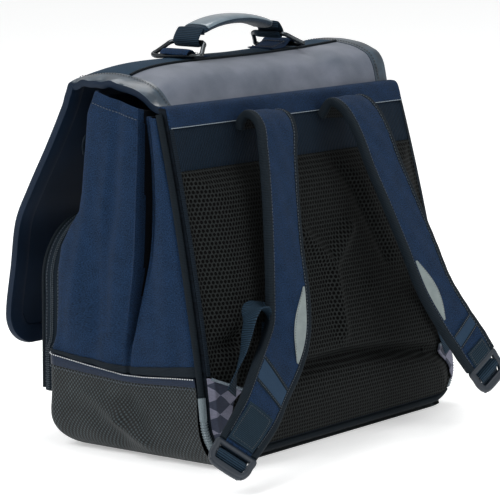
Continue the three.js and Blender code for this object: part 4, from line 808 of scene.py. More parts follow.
# Crossings painted grey and the gaps between them near black: painted highlight and painted shade over the
# cloth's charcoal
colour = add(tree, "ShaderNodeMix", {0: lift.outputs[0], 6: linear("#060808"), 7: linear("#3c464a")},
             data_type="RGBA")
dyed = add(tree, "ShaderNodeMix", {0: 1.0, 6: colour.outputs[2], 7: shade.outputs[0]},
           data_type="RGBA", blend_type="MULTIPLY")
surface(tree, shader, dyed, lift.outputs[0], 0.9, 0.0008)
shader.inputs["Roughness"].default_value = 0.62
shader.inputs["Specular IOR Level"].default_value = 0.3


BOOT_SHELL = BOOT_WALL - 0.8
shares = np.concatenate([[0, 0.004, 0.012], np.linspace(0.03, 1, 38)])
outer = np.stack([side_dents(boot_ring(s, 0, 0, 1), s, 1.0 if s > 0.02 else 0.0) for s in shares])
floor_share = BOOT_WALL / (BOOT_HEIGHT + LIFT)
inner = np.stack([side_dents(boot_ring(max(s, floor_share), BOOT_SHELL, 0, 1), s, 1.0)
                  for s in shares])
count = outer.shape[1]
flat = flat_of(lengths_along(boot_ring(0.5, 0, 0, 1)), shares[:, None] * (BOOT_HEIGHT + LIFT))
at = np.arange(outer.shape[0] * count).reshape(-1, count)
total = at.size
walls = quads_of(at)
rim = np.stack([at[-1, :-1], at[-1, 1:], at[-1, 1:] + total, at[-1, :-1] + total], -1)
near, far = at[:, 0], at[::-1, -1]
back = np.concatenate([np.stack([end[:-1], end[1:], end[1:] + total, end[:-1] + total], -1)
                       for end in (near, far)])
under = [(at[0, k], at[0, k + 1], at[0, count - 2 - k], at[0, count - 1 - k])
         for k in range(count // 2 - 1)]
inside = [(b + total, a + total, d + total, c + total) for a, b, c, d in under]
tail = [(at[0, 0], at[0, 0] + total, at[0, -1] + total, at[0, -1])]
points = np.concatenate([outer.reshape(-1, 3), inner.reshape(-1, 3)])
flat = np.concatenate([flat.reshape(-1, 2)] * 2)
faces = np.concatenate([walls[:, ::-1], walls + total, rim[:, ::-1], back, under, inside, tail])
make_piece("boot_base", points, faces, flat, ballistic, ["base_boot"], 50)


# Trim round the boot
# Two tapes sewn over the seam between boot and sides: a dark ribbon above, a navy band below,
# and one row of white stitches where they meet.
trim_navy = canvas("navy_trim_tape", "#12243b", "#091424", 1.2, relief=0.3)
trim_dark = ribbed_band("dark_slate_ribbon", "#182129", "#0b1116", 1.3, relief=0.4)


def trim_line(proud, edge):
    """Line round the top of the boot that follows its folds: foot of the trim 1, or top 2."""
    return side_dents(boot_ring(1, 0, proud, edge), 0.9, 0.6)


TRIM_SWELL = 0.5
base, top = trim_line(TRIM_SWELL, 1) + (0, 0, 0.6), trim_line(TRIM_SWELL, 2)
v = np.linspace(0, 1, 9)[:, None, None]
grid = base + (top - base) * v
out = unit(grid * (1, 1, 0))
two_faces("trim_navy_band", grid + out * TRIM_SWELL * np.sin(math.pi * v),
          grid - out * (BOOT_WALL - GAP) * 0.4, flat_of(lengths_along(base), grid[..., 2]),
          trim_navy, ["base_trim"], "trim_cloth")

# Twisted bonded thread, slightly shiny, off-white.
white_thread, tree, shader = new_material("white_polyester_thread")
shader.inputs["Base Color"].default_value = linear("#d4d8da")
shader.inputs["Roughness"].default_value = 0.55
shader.inputs["Sheen Weight"].default_value = 0.2


def thread_in(name, colour):
    """The same thread in another dye."""
    thread = white_thread.copy()
    thread.name = name
    thread.node_tree.nodes["Principled BSDF"].inputs["Base Color"].default_value = linear(colour)
    return thread


pale_thread = thread_in("pale_polyester_thread", "#7f8c96")
slate_thread = thread_in("slate_polyester_thread", "#2c3944")


def stitches(name, path, pitch, length, thick, material):
    """Row of single stitches along a path, each a small rounded bead of thread."""
    run = lengths_along(path)
    middle = np.arange(pitch / 2, run[-1], pitch)
    sides, beads = 6, np.array([(-0.5, 0.4), (-0.27, 1.0), (0.27, 1.0), (0.5, 0.4)])

    def at(s):
        return np.stack([np.interp(s, run, path[:, k]) for k in range(3)], -1)
    centre = at(middle)
    along = unit(at(middle + 0.5) - at(middle - 0.5))
    side = unit(np.cross(along, (0.31, 0.22, 0.92)))
    over = np.cross(side, along)
    turn = ring_angles(sides)[:, None]
    ring = side[:, None] * np.cos(turn) + over[:, None] * np.sin(turn)
    place, size = beads[:, 0, None, None] * length, beads[:, 1, None, None] * thick / 2
    points = centre[:, None, None] + along[:, None, None] * place + ring[:, None] * size
    per = len(beads) * sides
    local = np.arange(per).reshape(len(beads), sides)
    wrap = np.concatenate([local, local[:, :1]], 1)
    caps = np.array([(0, 1, 2, 5), (5, 2, 3, 4)])
    ends = caps[:, ::-1] + (len(beads) - 1) * sides
    one = np.concatenate([quads_of(wrap), caps[:, ::-1], ends[:, ::-1]])
    faces = (one[None] + (np.arange(len(middle)) * per)[:, None, None]).reshape(-1, 4)
    flat = np.zeros((len(middle) * per, 2))
    return make_piece(name, points.reshape(-1, 3), faces, flat, material, (), 80)


base, top = trim_line(1.5, 1), trim_line(1.5, 2)
x = np.linspace(-edge_half(YOKE_TOP), edge_half(YOKE_TOP), 120)
stitches("facing_chain_stitches", on_back(x, 2.5 + 0 * x, YOKE_TOP + 0.9 + 0 * x), 2.6, 2.3, 0.9,
         pale_thread)
for side, sign in SIDES:
    depth = gore_lift(slant_x, slant_z) + 3.2
    stitches(f"gore_seam_stitches_{side}", on_back(sign * slant_x, depth, slant_z), 2.9, 2.2, 0.9,
             pale_thread)
stitches("trim_stitches", mix(base, top, 0.97), 2.9, 1.7, 1.0, white_thread)
stitches("boot_seam_stitches", base - (0, 0, 1.4), 3.1, 2.0, 0.9, slate_thread)


# Side gussets
# One navy cloth on each side, folded into a deep pleat between the two compartments. Its top
# has a turned and stitched hem, and its front edge a small tab.
PLEAT_DEPTH = 44
SEAM_TUCK = 8
CLOTH = 2
GUSSET_BULGE = 6
# How far in from the side, and above which height, the pleat's faces are painted dark as shade
PLEAT_SHADE_DEPTH = 13
PLEAT_SHADE_FOOT = 96
GUSSET = (
    # share of BACK_HEIGHT, then rear fold, front fold and front edge as shares of BODY_DEPTH,
    # share of PLEAT_DEPTH, share of GUSSET_BULGE
    (0.24, 0.022, -0.018, -0.484, 0.06, 0.2),
    (0.30, 0.024, -0.012, -0.455, 0.12, 0.6),
    (0.35, 0.048, 0.008, -0.452, 0.45, 0.9),
    (0.41, 0.072, 0.022, -0.450, 0.80, 1.0),
    (0.50, 0.104, 0.038, -0.452, 1.00, 1.0),
    (0.57, 0.126, 0.045, -0.435, 1.00, 0.9),
    (0.63, 0.138, 0.046, -0.385, 1.00, 0.8),
    (0.68, 0.140, 0.046, -0.325, 1.00, 0.7),
    (0.74, 0.138, 0.045, -0.307, 1.00, 0.6),
    (0.85, 0.122, 0.044, -0.298, 1.00, 0.5),
    (0.97, 0.086, 0.042, -0.284, 1.00, 0.4),
    (1.05, 0.070, 0.040, -0.230, 1.00, 0.3),
)
REAR, REAR_FOLD, FRONT_FOLD, FRONT_EDGE, PLEAT, BULGE = 0, 1, 2, 3, 4, 5
GUSSET_LINES = (
    # from and to a fold, share of the way, out, sunk, tuck, top as a share of BACK_HEIGHT
    (REAR, REAR_FOLD, 0.0, 0, 0, 0.42, 0.972),
    (REAR, REAR_FOLD, 0.1, 0, 0, 0, 0.972),
    (REAR, REAR_FOLD, 0.5, 0.3, 0, 0, 0.972),
    (REAR, REAR_FOLD, 0.93, 0.1, 0, 0, 0.975),
    (REAR, REAR_FOLD, 1.0, 0, 0.03, 0, 0.975),
    (REAR_FOLD, FRONT_FOLD, 0.35, 0, 0.96, 0, 0.970),
    (REAR_FOLD, FRONT_FOLD, 0.65, 0, 1, 0, 0.970),
    (REAR_FOLD, FRONT_FOLD, 1.0, 0.2, 0.03, 0, 0.995),
    (FRONT_FOLD, FRONT_EDGE, 0.035, 0.5, 0, 0, 0.997),
    (FRONT_FOLD, FRONT_EDGE, 0.22, 0.9, 0, 0, 1.006),
    (FRONT_FOLD, FRONT_EDGE, 0.42, 0.1, 0, 0, 1.014),
    (FRONT_FOLD, FRONT_EDGE, 0.66, 1, 0, 0, 1.024),
    (FRONT_FOLD, FRONT_EDGE, 0.88, 0.5, 0, 0, 1.034),
    (FRONT_FOLD, FRONT_EDGE, 0.99, -0.2, 0, 0, 1.038),
    (FRONT_FOLD, FRONT_EDGE, 1.0, -0.3, 0, 0.72, 1.038),
)


def gusset_at(z, column):
    return column_at(GUSSET, 0, z / BACK_HEIGHT, column)


def fold_y(z, fold):
    return back_y(z) - SLAB - GAP if fold == REAR else gusset_at(z, fold) * BODY_DEPTH


def between(rows, at):
    """Smooth values between the rows of a table at fractional rows."""
    rows = np.asarray(rows, float)
    i = np.clip(np.floor(at).astype(int), 0, len(rows) - 2)
    t = (at - i).reshape(at.shape + (1,) * (rows.ndim - 1))
    near = (rows[np.clip(i + k, 0, len(rows) - 1)] for k in (-1, 0, 1, 2))
    return curve_at(*near, t)


GUSSET_ROWS = 120
GUSSET_COLUMNS = 122
HEM_ROW = 114
v = np.linspace(0, 1, GUSSET_ROWS)
lines = []
for start, stop, share, out, sunk, tuck, top in GUSSET_LINES:
    low_y = mix(fold_y(BOOT_HEIGHT, start), fold_y(BOOT_HEIGHT, stop), share)
    low_z = column_at(TRIM_LINE, 0, low_y / BODY_DEPTH, 2) * BOOT_HEIGHT + 5 * GAP
    z = mix(low_z, top * BACK_HEIGHT, v)
    y = mix(fold_y(z, start), fold_y(z, stop), share)
    x = (half_width(z) + out * gusset_at(z, BULGE) * GUSSET_BULGE
         - sunk * gusset_at(z, PLEAT) * PLEAT_DEPTH - tuck * SEAM_TUCK)
    lines.append(pile(x, y, z))
# Evenly spread columns would pinch the narrow folds, so the columns follow the cloth's width
stops = np.asarray(lines)
widths = np.linalg.norm(np.diff(stops, axis=0), axis=-1).mean(1)
place = np.concatenate([[0], np.cumsum(np.maximum(widths, 2.5))])
columns = np.interp(np.linspace(0, place[-1], GUSSET_COLUMNS), place, np.arange(len(lines)))
grid = np.moveaxis(between(stops, columns), 0, 1)
x, y, z = np.moveaxis(grid, -1, 0)
open_face = smooth((x - half_width(z) + 6) / 4)
share = (z - 60) / 260
creases = (
    # y at the top, y at the foot, reach, rise: long soft folds that run down the cloth
    (-26, -34, 5.0, 1.3),
    (-36, -58, 7.0, -1.2),
    (-12, -16, 5.0, 0.6),
    (-48, -74, 6.0, 0.8),
    (30, 50, 8.0, 0.9),
    (18, 34, 5.0, -0.6),
)
soft = np.zeros_like(x)
for y_top, y_foot, reach, rise in creases:
    centre = mix(y_foot, y_top, share) + 2.5 * np.sin(z / 37 + y_top)
    fade = np.sin(math.pi * np.clip(share, 0, 1)) ** 0.6
    soft += rise * np.exp(-((y - centre) / reach) ** 2) * fade
soft += 0.35 * np.sin(z / 17 + y / 11) + 0.25 * np.sin(y / 7 - z / 29)
pull = np.exp(-((z - 78 - 0.12 * y) / 12) ** 2) * np.sin(y / 5.5 + 0.4 * np.sin(y / 9))
hem = np.exp(-((v[:, None] - 0.965) / 0.006) ** 2) * -0.5
grid[..., 0] += open_face * (soft + 0.7 * pull + hem)
run_across = np.stack([lengths_along(row) for row in grid])
normals = face_normals(grid)
normals *= np.sign(normals[60, 110, 0])
# The hem's stitches run from the front fold, which is row 8 of GUSSET_LINES, to near the edge
seen = grid[HEM_ROW, np.argmin(np.abs(columns - 8)):np.argmin(np.abs(columns - 13))]
# The slate ribbon over the foot seam follows the cloth and grows wider towards the back
reach = mix(3.0, 9.5, np.clip((grid[0, :, 1] + 90) / 180, 0, 1)) / (grid[1, :, 2] - grid[0, :, 2])
row = np.linspace(0, 1, 9)[:, None] * reach
below, every = np.floor(row).astype(int), np.arange(grid.shape[1])
ribbon = mix(grid[below, every], grid[below + 1, every], (row - below)[..., None])
ribbon_out = normals[below, every]
ribbon_flat = flat_of(run_across[below, every], ribbon[..., 2])
tab_z = np.linspace(0.845, 0.905, 16) * BACK_HEIGHT
tab = pile(half_width(tab_z) - 1.5,
           fold_y(tab_z, FRONT_EDGE) - 2.6 * np.sin(np.linspace(0, math.pi, 16)), tab_z)
for side, sign in SIDES:
    turned = np.array([sign, 1, 1])
    cloth = two_faces(f"gusset_cloth_{side}", grid * turned,
                      (grid - normals * CLOTH * 0.8) * turned, flat_of(run_across, z),
                      navy_canvas, [f"gusset_{side}"], "navy_cloth", 70)
    # Deep in the pleat the faces get a near-black cloth: painted shade, where the real pleat is the same
    # navy cloth in shadow
    cloth.data.materials.append(pleat_painted_shade_cloth)
    middle = np.array([face.center for face in cloth.data.polygons]) * 1000
    inward = half_width(middle[:, 2]) - np.abs(middle[:, 0])
    deep = (inward > PLEAT_SHADE_DEPTH) & (middle[:, 2] > PLEAT_SHADE_FOOT)
    cloth.data.polygons.foreach_set("material_index", deep.astype(np.int32))
    two_faces(f"gusset_foot_ribbon_{side}", (ribbon + ribbon_out * 1.0) * turned,
              (ribbon + ribbon_out * 0.1) * turned, ribbon_flat, trim_dark, (), "trim_cloth", 60)
    stitches(f"gusset_hem_stitches_{side}", (seen + (0.2, 0, 0)) * turned, 3.6, 2.5, 0.8,
             slate_thread)
    rod(f"gusset_tab_{side}", tab * turned, 1.9, edge_tape, (), sides=12,
        flatten=0.55)


# Front panel and divider
# Navy cloth panels between the gussets: the front of the bag, and the wall between the two
# compartments. The wall sags a little between its seams, and the front lies flat.
def cross_panel(name, heights, half, place, sag, nodes):
    columns = np.linspace(-1, 1, 46)
    z = heights[:, None] + 0 * columns
    x = columns * half(z)
    rise = np.sin(math.pi * np.clip((z - heights[0]) / (heights[-1] - heights[0]), 0, 1))
    wave = sag * rise * (0.5 * np.cos(x / 60) + 0.25 * np.sin(x / 23 + z / 31))
    outer = pile(x, place(z) + 0.2 + wave, z)
    return two_faces(name, outer, outer + (0, CLOTH * 0.9, 0), outer[..., [0, 2]], navy_canvas,
                     nodes, "navy_cloth")


TRIM_TOP = TRIM_LINE[0][2] * BOOT_HEIGHT
INNER_FRONT = -BODY_DEPTH / 2 + BOOT_WALL + 2
cross_panel(
    "front_panel_cloth", np.linspace(BOOT_HEIGHT - 18, 1.02 * BACK_HEIGHT, 54),
    lambda z: half_width(z) - CLOTH - GAP - GUSSET_BULGE * 0.4 - BOOT_WALL,
    lambda z: np.where(z < TRIM_TOP, INNER_FRONT, np.maximum(fold_y(z, FRONT_EDGE), INNER_FRONT)),
    0.0, ["front_panel"])
cross_panel(
    "divider_cloth", np.linspace(BOOT_WALL + GAP, 0.9 * BACK_HEIGHT, 44),
    lambda z: half_width(z) - np.maximum(gusset_at(z, PLEAT) * PLEAT_DEPTH, 2 * BOOT_WALL)
    - CLOTH - 9 * GAP - round_in(z, BOOT_SIDE_RADIUS),
    lambda z: mix(fold_y(z, REAR_FOLD), fold_y(z, FRONT_FOLD), 0.5), 1.5, ["divider"])


# Flap: panels
# A grey coated panel behind a ribbed slate strip over the top, navy canvas down the front with
# a second padded layer at its foot, and a dark smooth lining.
FLAP_WIDTH = 340
FLAP_WALL = 3
BINDING_WIDTH = 17
FLAP_CORNER_RADIUS = 30
FLAP = (
    # place along BODY_DEPTH, heights at the +X edge, the middle and the -X edge by BACK_HEIGHT
    (0.125, 1.002, 1.002, 1.003),
    (0.105, 1.004, 1.026, 1.058),
    (0.075, 1.012, 1.064, 1.088),
    (0.035, 1.030, 1.085, 1.102),
    (-0.030, 1.048, 1.098, 1.116),
    (-0.125, 1.060, 1.106, 1.124),
    (-0.200, 1.065, 1.110, 1.125),
    (-0.290, 1.063, 1.108, 1.121),
    (-0.380, 1.056, 1.095, 1.104),
    (-0.422, 1.054, 1.078, 1.088),
    (-0.446, 1.024, 1.040, 1.048),
    (-0.482, 0.970, 0.974, 0.978),
    (-0.572, 0.862, 0.862, 0.862),
    (-0.698, 0.722, 0.722, 0.722),
    (-0.778, 0.618, 0.618, 0.618),
    (-0.812, 0.480, 0.480, 0.480),
    (-0.843, 0.362, 0.362, 0.362),
    (-0.846, 0.290, 0.290, 0.290),
    (-0.838, 0.232, 0.232, 0.232),
)
flap_half = FLAP_WIDTH / 2
flap_end = len(FLAP) - 1.0


def flap_point(x, row):
    x, row = np.broadcast_arrays(np.asarray(x, float), np.asarray(row, float))
    place, near, middle, far = np.moveaxis(between(FLAP, np.clip(row, 0, flap_end)), -1, 0)
    side = np.clip(np.abs(x) / flap_half, 0, 1)
    edge = np.where(x > 0, (near - middle) * side ** 6, (far - middle) * side ** 2)
    return pile(x, place * BODY_DEPTH, (middle + edge) * BACK_HEIGHT)


flap_rows = np.linspace(0, flap_end, int(flap_end) * 8 + 1)
flap_lengths = lengths_along(flap_point(0 * flap_rows, flap_rows))
flap_length = flap_lengths[-1]


def off_flap(x, length, lift):
    """Point over the flap at x and a length from its rear seam."""
    row = np.interp(length, flap_lengths, flap_rows)
    across = flap_point(x + 2, row) - flap_point(x - 2, row)
    along = flap_point(x, row + 0.12) - flap_point(x, row - 0.12)
    normal = unit(np.cross(along, across))
    return flap_point(x, row) + normal * np.asarray(lift, float)[..., None]


def length_at(row):
    return float(np.interp(row, flap_rows, flap_lengths))


def flap_piece(name, material, node, slot, half, start, stop, count, corner, outer, inner, wave):
    """Layer of the flap between two lengths, with round lower corners, between two lifts."""
    u, v = np.meshgrid(np.linspace(-1, 1, count[1]), np.linspace(0, 1, count[0]))
    x = u * half
    over = np.clip((np.abs(x) - half + corner) / max(corner, 1), 0, 1)
    end = stop - corner * (1 - np.sqrt(1 - over ** 2))
    length = mix(start, end, v)
    return two_faces(name, off_flap(x, length, outer + wave(x, length, u, v)),
                     off_flap(x, length, inner + 0 * x), flat_of(x, length), material, [node], slot)


# Fine plain weave with a soft coating: an even lilac grey with cloudy scuffs and a dull shine.
grey_panel, tree, shader, place = cloth_material("grey_coated_polyester")
cloud = add(tree, "ShaderNodeTexNoise", {"Vector": place, "Scale": 1 / 38, "Detail": 4.0})
grain = add(tree, "ShaderNodeTexNoise", {"Vector": place, "Scale": 1 / 0.9, "Detail": 2.0})
tone = add(tree, "ShaderNodeMath", {0: grain.outputs["Fac"], 1: 0.35, 2: cloud.outputs["Fac"]},
           operation="MULTIPLY_ADD")
ramp = add(tree, "ShaderNodeMapRange", {"Value": tone.outputs[0], "From Min": 0.45, "From Max": 0.9})
colour = add(tree, "ShaderNodeMix", {0: ramp.outputs[0], 6: linear("#414b59"), 7: linear("#636977")},
             data_type="RGBA")
surface(tree, shader, colour, tone.outputs[0], 0.3, 0.0003)
shader.inputs["Roughness"].default_value = 0.55
shader.inputs["Sheen Weight"].default_value = 0.15


def grey_wave(x, length, u, v):
    """Soft dents of a panel that has no board in it, deepest on the far side."""
    inside = np.clip(np.minimum(v, 1 - v) * 6, 0, 1) * np.clip((1 - np.abs(u)) * 12, 0, 1)
    dent = -1.8 * np.exp(-((x + 74 + 0.3 * length) / 16) ** 2)
    dent += 1.3 * np.exp(-((x + 104 + 0.2 * length) / 13) ** 2)
    dent += 0.8 * np.exp(-((x - 40 - 0.4 * length) / 30) ** 2)
    return inside * (dent + 0.5 * np.sin(x / 21 + length / 17))


strip_web = ribbed_band("ribbed_slate_webbing", "#2a4256", "#0b1621", 2.2, along="U", relief=0.9)
panel_half = flap_half - BINDING_WIDTH - GAP
rope, front, step = length_at(5), length_at(9) + 4, length_at(14)
hem = flap_length - BINDING_WIDTH - GAP
corner = FLAP_CORNER_RADIUS - BINDING_WIDTH
flap_piece("flap_grey_panel", grey_panel, "flap_rear_panel", "grey_cloth", panel_half, 0,
           rope - GAP, (46, 112), 0, 0, -FLAP_WALL, grey_wave)
flap_piece("flap_slate_strip", strip_web, "flap_top_strip", "slate_webbing", panel_half, rope,
           front - GAP, (40, 104), 0, 0, -FLAP_WALL,
           lambda x, s, u, v: 0.9 * np.sin(math.pi * v) ** 0.5 + 0.2 * np.sin(x / 15))
flap_piece("flap_front_cloth", navy_canvas, "flap_front_panel", "navy_cloth", panel_half, front,
           hem, (90, 66), corner, 0, -FLAP_WALL,
           lambda x, s, u, v: 0.5 * np.sin(x / 31 + s / 23) * np.sin(math.pi * v))
flap_piece("flap_lower_cloth", navy_canvas, "flap_lower_panel", "navy_cloth", panel_half - 1,
           step, hem - 1, (56, 70), corner, 3.6, 4 * GAP,
           lambda x, s, u, v: 0.9 * (1 - np.abs(u) ** 8) * np.sin(math.pi * v) ** 0.3)

# Thin nylon with a polyurethane film: nearly black blue, smooth, with a low satin shine.
lining_cloth, tree, shader, place = cloth_material("dark_coated_lining")
cloud = add(tree, "ShaderNodeTexNoise", {"Vector": place, "Scale": 1 / 45, "Detail": 3.0})
colour = add(tree, "ShaderNodeMix", {0: cloud.outputs["Fac"], 6: linear("#0b1622"), 7: linear("#14253a")},
             data_type="RGBA")
grain = add(tree, "ShaderNodeTexNoise", {"Vector": place, "Scale": 1 / 1.2, "Detail": 2.0})
surface(tree, shader, colour, grain.outputs["Fac"], 0.2, 0.0002)
shader.inputs["Roughness"].default_value = 0.55
shader.inputs["Specular IOR Level"].default_value = 0.15
flap_piece("flap_lining_cloth", lining_cloth, "flap_lining", "lining_cloth", panel_half - GAP,
           0.4 * BINDING_WIDTH, hem, (110, 66), corner, -FLAP_WALL - 1, -FLAP_WALL - 2.3,
           lambda x, s, u, v: 0.4 * np.sin(x / 26 + s / 19) * np.sin(math.pi * v))

# The rope-like row that joins the grey panel to the strip is two twisted dark threads
x = np.linspace(-panel_half, panel_half, 300)
rope_thread = ribbed_band("dark_twisted_seam_cord", "#121c24", "#05090c", 2.4, relief=1.0, rough=0.5)
rod("flap_seam_cord", off_flap(x, rope + 0 * x, 0.9 + 0 * x), 1.35, rope_thread, (),
    sides=12, twist=0.9)
rod("flap_front_seam_cord", off_flap(x, front + 0 * x, 0.5 + 0 * x), 1.0, rope_thread, (),
    sides=10, twist=0.9)


# Flap: edge binding
# Glossy coated tape folded over the flap's edge from the rear seam round the hem, with a row of
# dark stitches. The near edge is puckered where it turns over the corner of the bag.
BINDING_DEPTH = FLAP_WALL + 1 + 1.5 + 0.8
# Vinyl-coated nylon: slate blue, smooth with faint creases, and it mirrors the lamps in streaks.
gloss_tape, tree, shader, place = cloth_material("glossy_coated_tape")
cloud = add(tree, "ShaderNodeTexNoise", {"Vector": place, "Scale": 1 / 16, "Detail": 3.0})
crease = add(tree, "ShaderNodeTexNoise", {"Vector": place, "Scale": 1 / 3.5, "Detail": 2.0})
ramp = add(tree, "ShaderNodeMapRange", {"Value": cloud.outputs["Fac"], "From Min": 0.35, "From Max": 0.65})
colour = add(tree, "ShaderNodeMix", {0: ramp.outputs[0], 6: linear("#182733"), 7: linear("#2b3f4e")},
             data_type="RGBA")
surface(tree, shader, colour, crease.outputs["Fac"], 0.45, 0.0004)
shader.inputs["Roughness"].default_value = 0.36
shader.inputs["Coat Weight"].default_value = 0.35
shader.inputs["Coat Roughness"].default_value = 0.2


def flap_edge(inset, count=220):
    """Places x and length along the flap's edge, round both lower corners."""
    radius, half = FLAP_CORNER_RADIUS - inset, flap_half - inset
    middle = flap_length - FLAP_CORNER_RADIUS
    down = np.linspace(0, middle, count)
    turn = np.linspace(0, math.pi / 2, 14)[1:]
    foot = np.linspace(half - radius, radius - half, 70)[1:-1]
    x = np.concatenate([np.full(count, half), half - radius + radius * np.cos(turn), foot,
                        (radius - half - radius * np.cos(turn))[::-1], np.full(count, -half)])
    s = np.concatenate([down, middle + radius * np.sin(turn), np.full(len(foot), middle + radius),
                        (middle + radius * np.sin(turn))[::-1], down[::-1]])
    return x, s


def edge_pucker(x, s):
    """Wavy lip of the near edge over the bag's corner."""
    near = smooth((x - flap_half + 30) / 20) * np.exp(-((s - length_at(7.2)) / 34) ** 2)
    return near * (1.3 * np.sin(s / 5.2) + 0.8 * np.sin(s / 2.9 + 1))


bands = np.linspace(0, 1, 11)
lines = [flap_edge(t * BINDING_WIDTH) for t in bands]
puckers = [(1 - t) ** 3 * edge_pucker(*line) for t, line in zip(bands, lines)]
outer = np.stack([off_flap(*line, 0.4 + 0.7 * math.sin(math.pi * min(1, 0.2 + t)) + pucker)
                  for t, line, pucker in zip(bands, lines, puckers)])
inner = np.stack([off_flap(*line, -BINDING_DEPTH + 0.5 * abs(2 * t - 1) ** 4 + pucker)
                  for t, line, pucker in zip(bands, lines, puckers)])
flat = flat_of(lengths_along(outer[0]), bands[:, None] * BINDING_WIDTH)
binding = two_faces("flap_edge_binding", outer, inner, flat, gloss_tape, ["flap_binding"],
                    "glossy_binding", 60)
# The tape's back and its rim get the dark lining cloth as painted shade; the real tape there is the same
# glossy tape
binding.data.materials.append(lining_cloth)
outer_faces = (outer.shape[0] - 1) * (outer.shape[1] - 1)
for face in binding.data.polygons[outer_faces:]:
    face.material_index = 1
x, s = flap_edge(BINDING_WIDTH - 3.5)
dark_thread = thread_in("dark_polyester_thread", "#0a1118")
stitches("flap_binding_stitches", off_flap(x, s, 1.15 + 0 * x), 3.4, 2.3, 0.8, dark_thread)


# Handle: padded grip
# Rounded foam grip in navy cloth with a glossy cover on top, painted pale as a painted highlight, arched
# over the flap.
HANDLE_X = -12
HANDLE_SPAN = 156
HANDLE_HEIGHT = 37
HANDLE_DROP = 8
GRIP_WIDTH = 30
GRIP_THICKNESS = 8
RING_BASE = 62
RING_TOP = 40
RING_WIRE = 2.2
RING_LEAN = 18
RING_RISE = 10.5
WEB_WALL = 2
HANDLE_Y = -0.225 * BODY_DEPTH
strip_rows = np.linspace(5, 9, 25)


def strip_top(x, y):
    """Height of the flap's strip at a place."""
    line = flap_point(x, strip_rows)
    return line[np.argmin(np.abs(line[:, 1] - y)), 2]


handle_top = strip_top(HANDLE_X, HANDLE_Y)
grip_half = HANDLE_SPAN / 2 - RING_LEAN - 9
arch = HANDLE_HEIGHT - HANDLE_DROP * np.abs(np.linspace(-1, 1, 61)) ** 2.2


def blunt(wave, power):
    """Fuller sine or cosine, which turns a round outline squarer."""
    return np.sign(wave) * np.abs(wave) ** power


def grip_rings(turn, grow, start, stop):
    """Outlines of the grip at the angles of turn, grown over it, between two shares."""
    t = np.linspace(start, stop, 61)
    lift = np.interp(t, np.linspace(0, 1, 61), arch)
    end = 1 - 0.35 * smooth(1 - np.minimum(t, 1 - t) * 30)
    y = HANDLE_Y + end[:, None] * (GRIP_WIDTH / 2 - 0.3 + grow) * blunt(np.cos(turn), 0.7)
    crown = np.sin(turn) * (GRIP_THICKNESS / 2 + grow)
    z = handle_top - GRIP_THICKNESS / 2 + lift[:, None] + end[:, None] * crown
    return pile((HANDLE_X + mix(-grip_half, grip_half, t))[:, None], y, z)


grip_cloth = canvas("slate_navy_grip_cloth", "#22384a", "#13202c", 1.3, relief=0.35)
grip = loft("handle_grip_foam", grip_rings(ring_angles(36), 0.2, 0, 1), grip_cloth,
            ["handle_grip"], sharp=80)
# Smooth embossed vinyl with a clear top coat: the lamp shows as a white band. Its pale slate colour is a
# painted highlight over a cover that is itself dark navy slate.
cover, tree, shader, place = cloth_material("glossy_vinyl_with_painted_highlight")
pebble = add(tree, "ShaderNodeTexVoronoi", {"Vector": place, "Scale": 1 / 1.8})
cloud = add(tree, "ShaderNodeTexNoise", {"Vector": place, "Scale": 1 / 12, "Detail": 2.0})
colour = add(tree, "ShaderNodeMix", {0: cloud.outputs["Fac"], 6: linear("#3d4f5b"), 7: linear("#72848f")},
             data_type="RGBA")
surface(tree, shader, colour, pebble.outputs["Distance"], 0.25, 0.0003)
shader.inputs["Roughness"].default_value = 0.28
shader.inputs["Coat Weight"].default_value = 0.6
over = np.linspace(0.30, math.pi - 0.30, 36)
top_outer, top_inner = grip_rings(over, 1.3, 0.03, 0.97), grip_rings(over, 0.35, 0.03, 0.97)
two_faces("handle_grip_cover", top_outer, top_inner, top_outer[..., :2], cover,
          ["handle_grip_top"], "handle_leatherette", 60)
for end, edge in (("front", 0), ("rear", -1)):
    seam = mix(top_outer[:, edge], top_outer[:, 18], 0.1) + (0, 0, 0.35)
    stitches(f"handle_cover_stitches_{end}", seam, 3.2, 2.2, 0.7, slate_thread)


# Handle: rings, tabs and anchors
# Dark chromed steel rings with four round corners join webbing tabs on the grip to navy
# anchors that are sewn flat on the strip.
# Drawn wire with a smoked chrome plate: it mirrors the white room in thin bright lines.
dark_chrome, tree, shader, place = cloth_material("dark_chromed_steel")
haze = add(tree, "ShaderNodeTexNoise", {"Vector": place, "Scale": 1 / 2.5, "Detail": 2.0})
rough = add(tree, "ShaderNodeMapRange",
            {"Value": haze.outputs["Fac"], "To Min": 0.12, "To Max": 0.3})
tree.links.new(rough.outputs[0], shader.inputs["Roughness"])
shader.inputs["Base Color"].default_value = linear("#44484b")
shader.inputs["Metallic"].default_value = 1.0
tab_web = ribbed_band("ribbed_tab_webbing", "#1f3140", "#0c161f", 1.9, relief=0.9)


def web_strip(name, path, across, half, wall, toward, material, nodes, slot):
    """Flat webbing along a path. Its other face lies a wall away, towards a place."""
    path = np.asarray(path, float)
    across = np.broadcast_to(np.asarray(across, float), path.shape)
    normal = unit(np.cross(unit(np.gradient(path, axis=0)), across))
    aim = np.einsum("ij,ij->i", normal, np.asarray(toward, float) - path)
    normal *= np.sign(aim[len(path) // 2:].mean())
    t = np.linspace(-1, 1, 13)
    round_edge = 1 - 0.25 * np.abs(t) ** 8
    outer = path[:, None] + across[:, None] * (t * half)[None, :, None]
    inner = outer + normal[:, None] * (wall * round_edge)[None, :, None]
    outer = outer + normal[:, None] * (wall * (0.3 * np.abs(t) ** 8))[None, :, None]
    flat = flat_of(t[None] * half, lengths_along(path)[:, None])
    return two_faces(name, outer, inner, flat, material, nodes, slot, 60)


